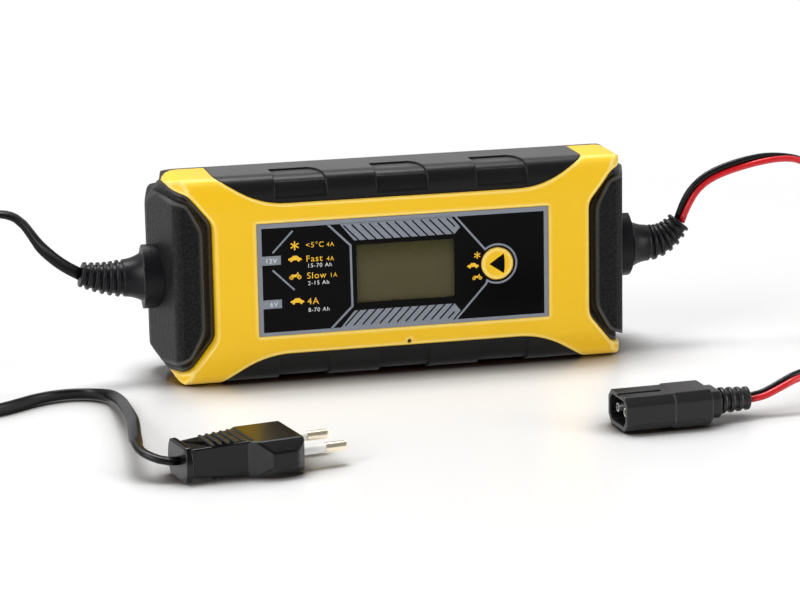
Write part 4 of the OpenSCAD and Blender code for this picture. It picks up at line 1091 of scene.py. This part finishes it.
# The sleeves' front ends come forward in the shroud, to where they show from in front.
inward = Vector((math.cos(math.radians(3)), math.sin(math.radians(3)), 0))
mouth = Vector((59.6, -137, 7.5))
forward = 3.2 * mm
for vert in contact_sleeves.data.vertices:
    if (vert.co / mm - mouth).dot(inward) < 6:
        vert.co -= inward * forward
# Only their front rims get the plated metal; the rest takes the shroud's dark plastic as painted shade.
contact_sleeves.data.materials.append(connector_pa)
contact_sleeves.data.materials.append(contact_metal)
for face in contact_sleeves.data.polygons:
    face.material_index = 1 if face.normal.dot(inward) < -0.6 else 0
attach(contact_sleeves, "case")
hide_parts("connector_contacts")

# ---------------------------------------------------------------- coil ties
# Black polyethylene bands around the two coils.

# Soft plastic band: an even, slightly greasy shine.
tie_plastic = fine_material(
    "polyethylene_band_black",
    {"Scale": 400, "Detail": 2},
    {"Base Color": "#1D1D1F", "IOR": 1.5},
    gloss=(0.35, 0.5),
)
dress(tie_plastic, "tie_plastic", "mains_cord_tie", "battery_lead_tie")

# ---------------------------------------------------------------- circuit boards
# Two glass-epoxy boards with a green solder mask, joined by a ribbon. They are screwed to
# posts of the shells.

circuit_board, place = start_material("glass_epoxy_green_mask")
# Solder mask over copper: green, with lighter tracks about 1 mm wide.
mask = {"Color1": "#0B4A22", "Color2": "#0F5528", "Mortar": "#1E7A3E"}
tracks = add_node(
    circuit_board, "TexBrick", {"Scale": 120, "Mortar Size": 0.06, **mask}, {"Vector": place}
)
skin = add_node(
    circuit_board, "BsdfPrincipled", {"IOR": 1.55, "Roughness": 0.3}, {"Base Color": (tracks, 0)}
)
finish_material(circuit_board, skin)
dress(circuit_board, "circuit_board", "main_board", "display_board")

# Ribbon cable: grey PVC with ridges 1.27 mm apart.
ribbon = fine_material(
    "pvc_ribbon_grey",
    {"bands_direction": "Z", "Scale": 250, "Distortion": 0.0},
    {"IOR": 1.53, "Roughness": 0.45},
    tones=("#8E9092", "#B4B6B8"),
    kind="TexWave",
)
dress(ribbon, "ribbon", "board_link")

# ---------------------------------------------------------------- wound parts
# The transformer, the mains filter choke and the output choke: pressed ferrite cores with
# enamelled copper windings.

# Pressed ferrite: dark grey ceramic with small pits.
ferrite = fine_material(
    "ferrite_pressed",
    {"Scale": 1200, "Detail": 4},
    {"IOR": 1.6, "Roughness": 0.6},
    tones=("#2A2A2C", "#3C3C3F"),
    bump=(0.3, 0.0002),
)
dress(ferrite, "ferrite", "transformer_core", "filter_choke_core")

# Enamelled wire, turns 0.8 mm apart: copper under amber varnish.
copper_winding = fine_material(
    "copper_wire_enamelled",
    {"bands_direction": "Z", "Scale": 390, "Distortion": 0.4},
    {"Metallic": 0.6, "Roughness": 0.35},
    tones=("#5E2A10", "#B5622B"),
    kind="TexWave",
)
windings = ("transformer_winding", "filter_choke_winding", "output_choke")
dress(copper_winding, "copper_winding", *windings)

# ---------------------------------------------------------------- capacitors
# Aluminium electrolytic cans in shrink sleeve, and a film capacitor in a potted box.

# Shrink sleeve: glossy dark blue with slight ripples.
capacitor_sleeve = fine_material(
    "pet_shrink_sleeve_navy",
    {"Scale": 300, "Detail": 2},
    {"Base Color": "#141B36", "IOR": 1.57, "Roughness": 0.22},
    bump=(0.15, 0.0003),
)
dress(capacitor_sleeve, "capacitor_sleeve", "mains_capacitor", "output_capacitors")

# Potted box of a suppression capacitor: matt yellow-grey plastic.
film_box = fine_material(
    "polypropylene_box_yellow",
    {"Scale": 400, "Detail": 2},
    {"IOR": 1.49, "Roughness": 0.5},
    tones=("#C9B04A", "#D8BF58"),
)
dress(film_box, "film_box", "suppression_capacitor")

# ---------------------------------------------------------------- power parts
# The rectifier, three tab transistors on extruded heat sinks, two control chips, the glass
# fuse and the surge disc, all on the main board.

# Moulding compound: matt black with a fine gritty face.
chip_epoxy = fine_material(
    "epoxy_moulding_black",
    {"Scale": 2400, "Detail": 3},
    {"Base Color": "#1A1A1B", "IOR": 1.55, "Roughness": 0.55},
    bump=(0.25, 0.0001),
)
dress(chip_epoxy, "chip_epoxy", "bridge_rectifier", "power_transistors", "control_chips")

# Extruded aluminium: fine die lines along the fins.
sink_aluminium = fine_material(
    "aluminium_extruded",
    {"bands_direction": "X", "Scale": 900, "Distortion": 2.0},
    {"Base Color": "#C8CACC", "Metallic": 1.0},
    gloss=(0.28, 0.45),
    kind="TexWave",
)
dress(sink_aluminium, "sink_aluminium", "heat_sinks")

# Thin glass tube, drawn with the faint green of soda glass.
fuse_glass, _ = start_material("fuse_glass_clear")
skin = add_node(
    fuse_glass,
    "BsdfPrincipled",
    {"Base Color": "#DCE8E2", "IOR": 1.52, "Roughness": 0.04, "Transmission Weight": 0.8},
)
finish_material(fuse_glass, skin)
dress(fuse_glass, "fuse_glass", "mains_fuse")

# Dipped lacquer: glossy blue with a slight orange-peel surface.
disc_lacquer = fine_material(
    "lacquer_dipped_blue",
    {"Scale": 700, "Detail": 2},
    {"Base Color": "#1F4FA3", "IOR": 1.5, "Roughness": 0.25},
    bump=(0.2, 0.0002),
)
dress(disc_lacquer, "disc_lacquer", "surge_disc")

# ---------------------------------------------------------------- inner cord ends
# The bared ends of both cords run from the glands down to the main board.

dress(cord_pvc, "mains_cord_pvc", "mains_tail")
dress(lead_red, "battery_lead_pvc", "battery_tail")
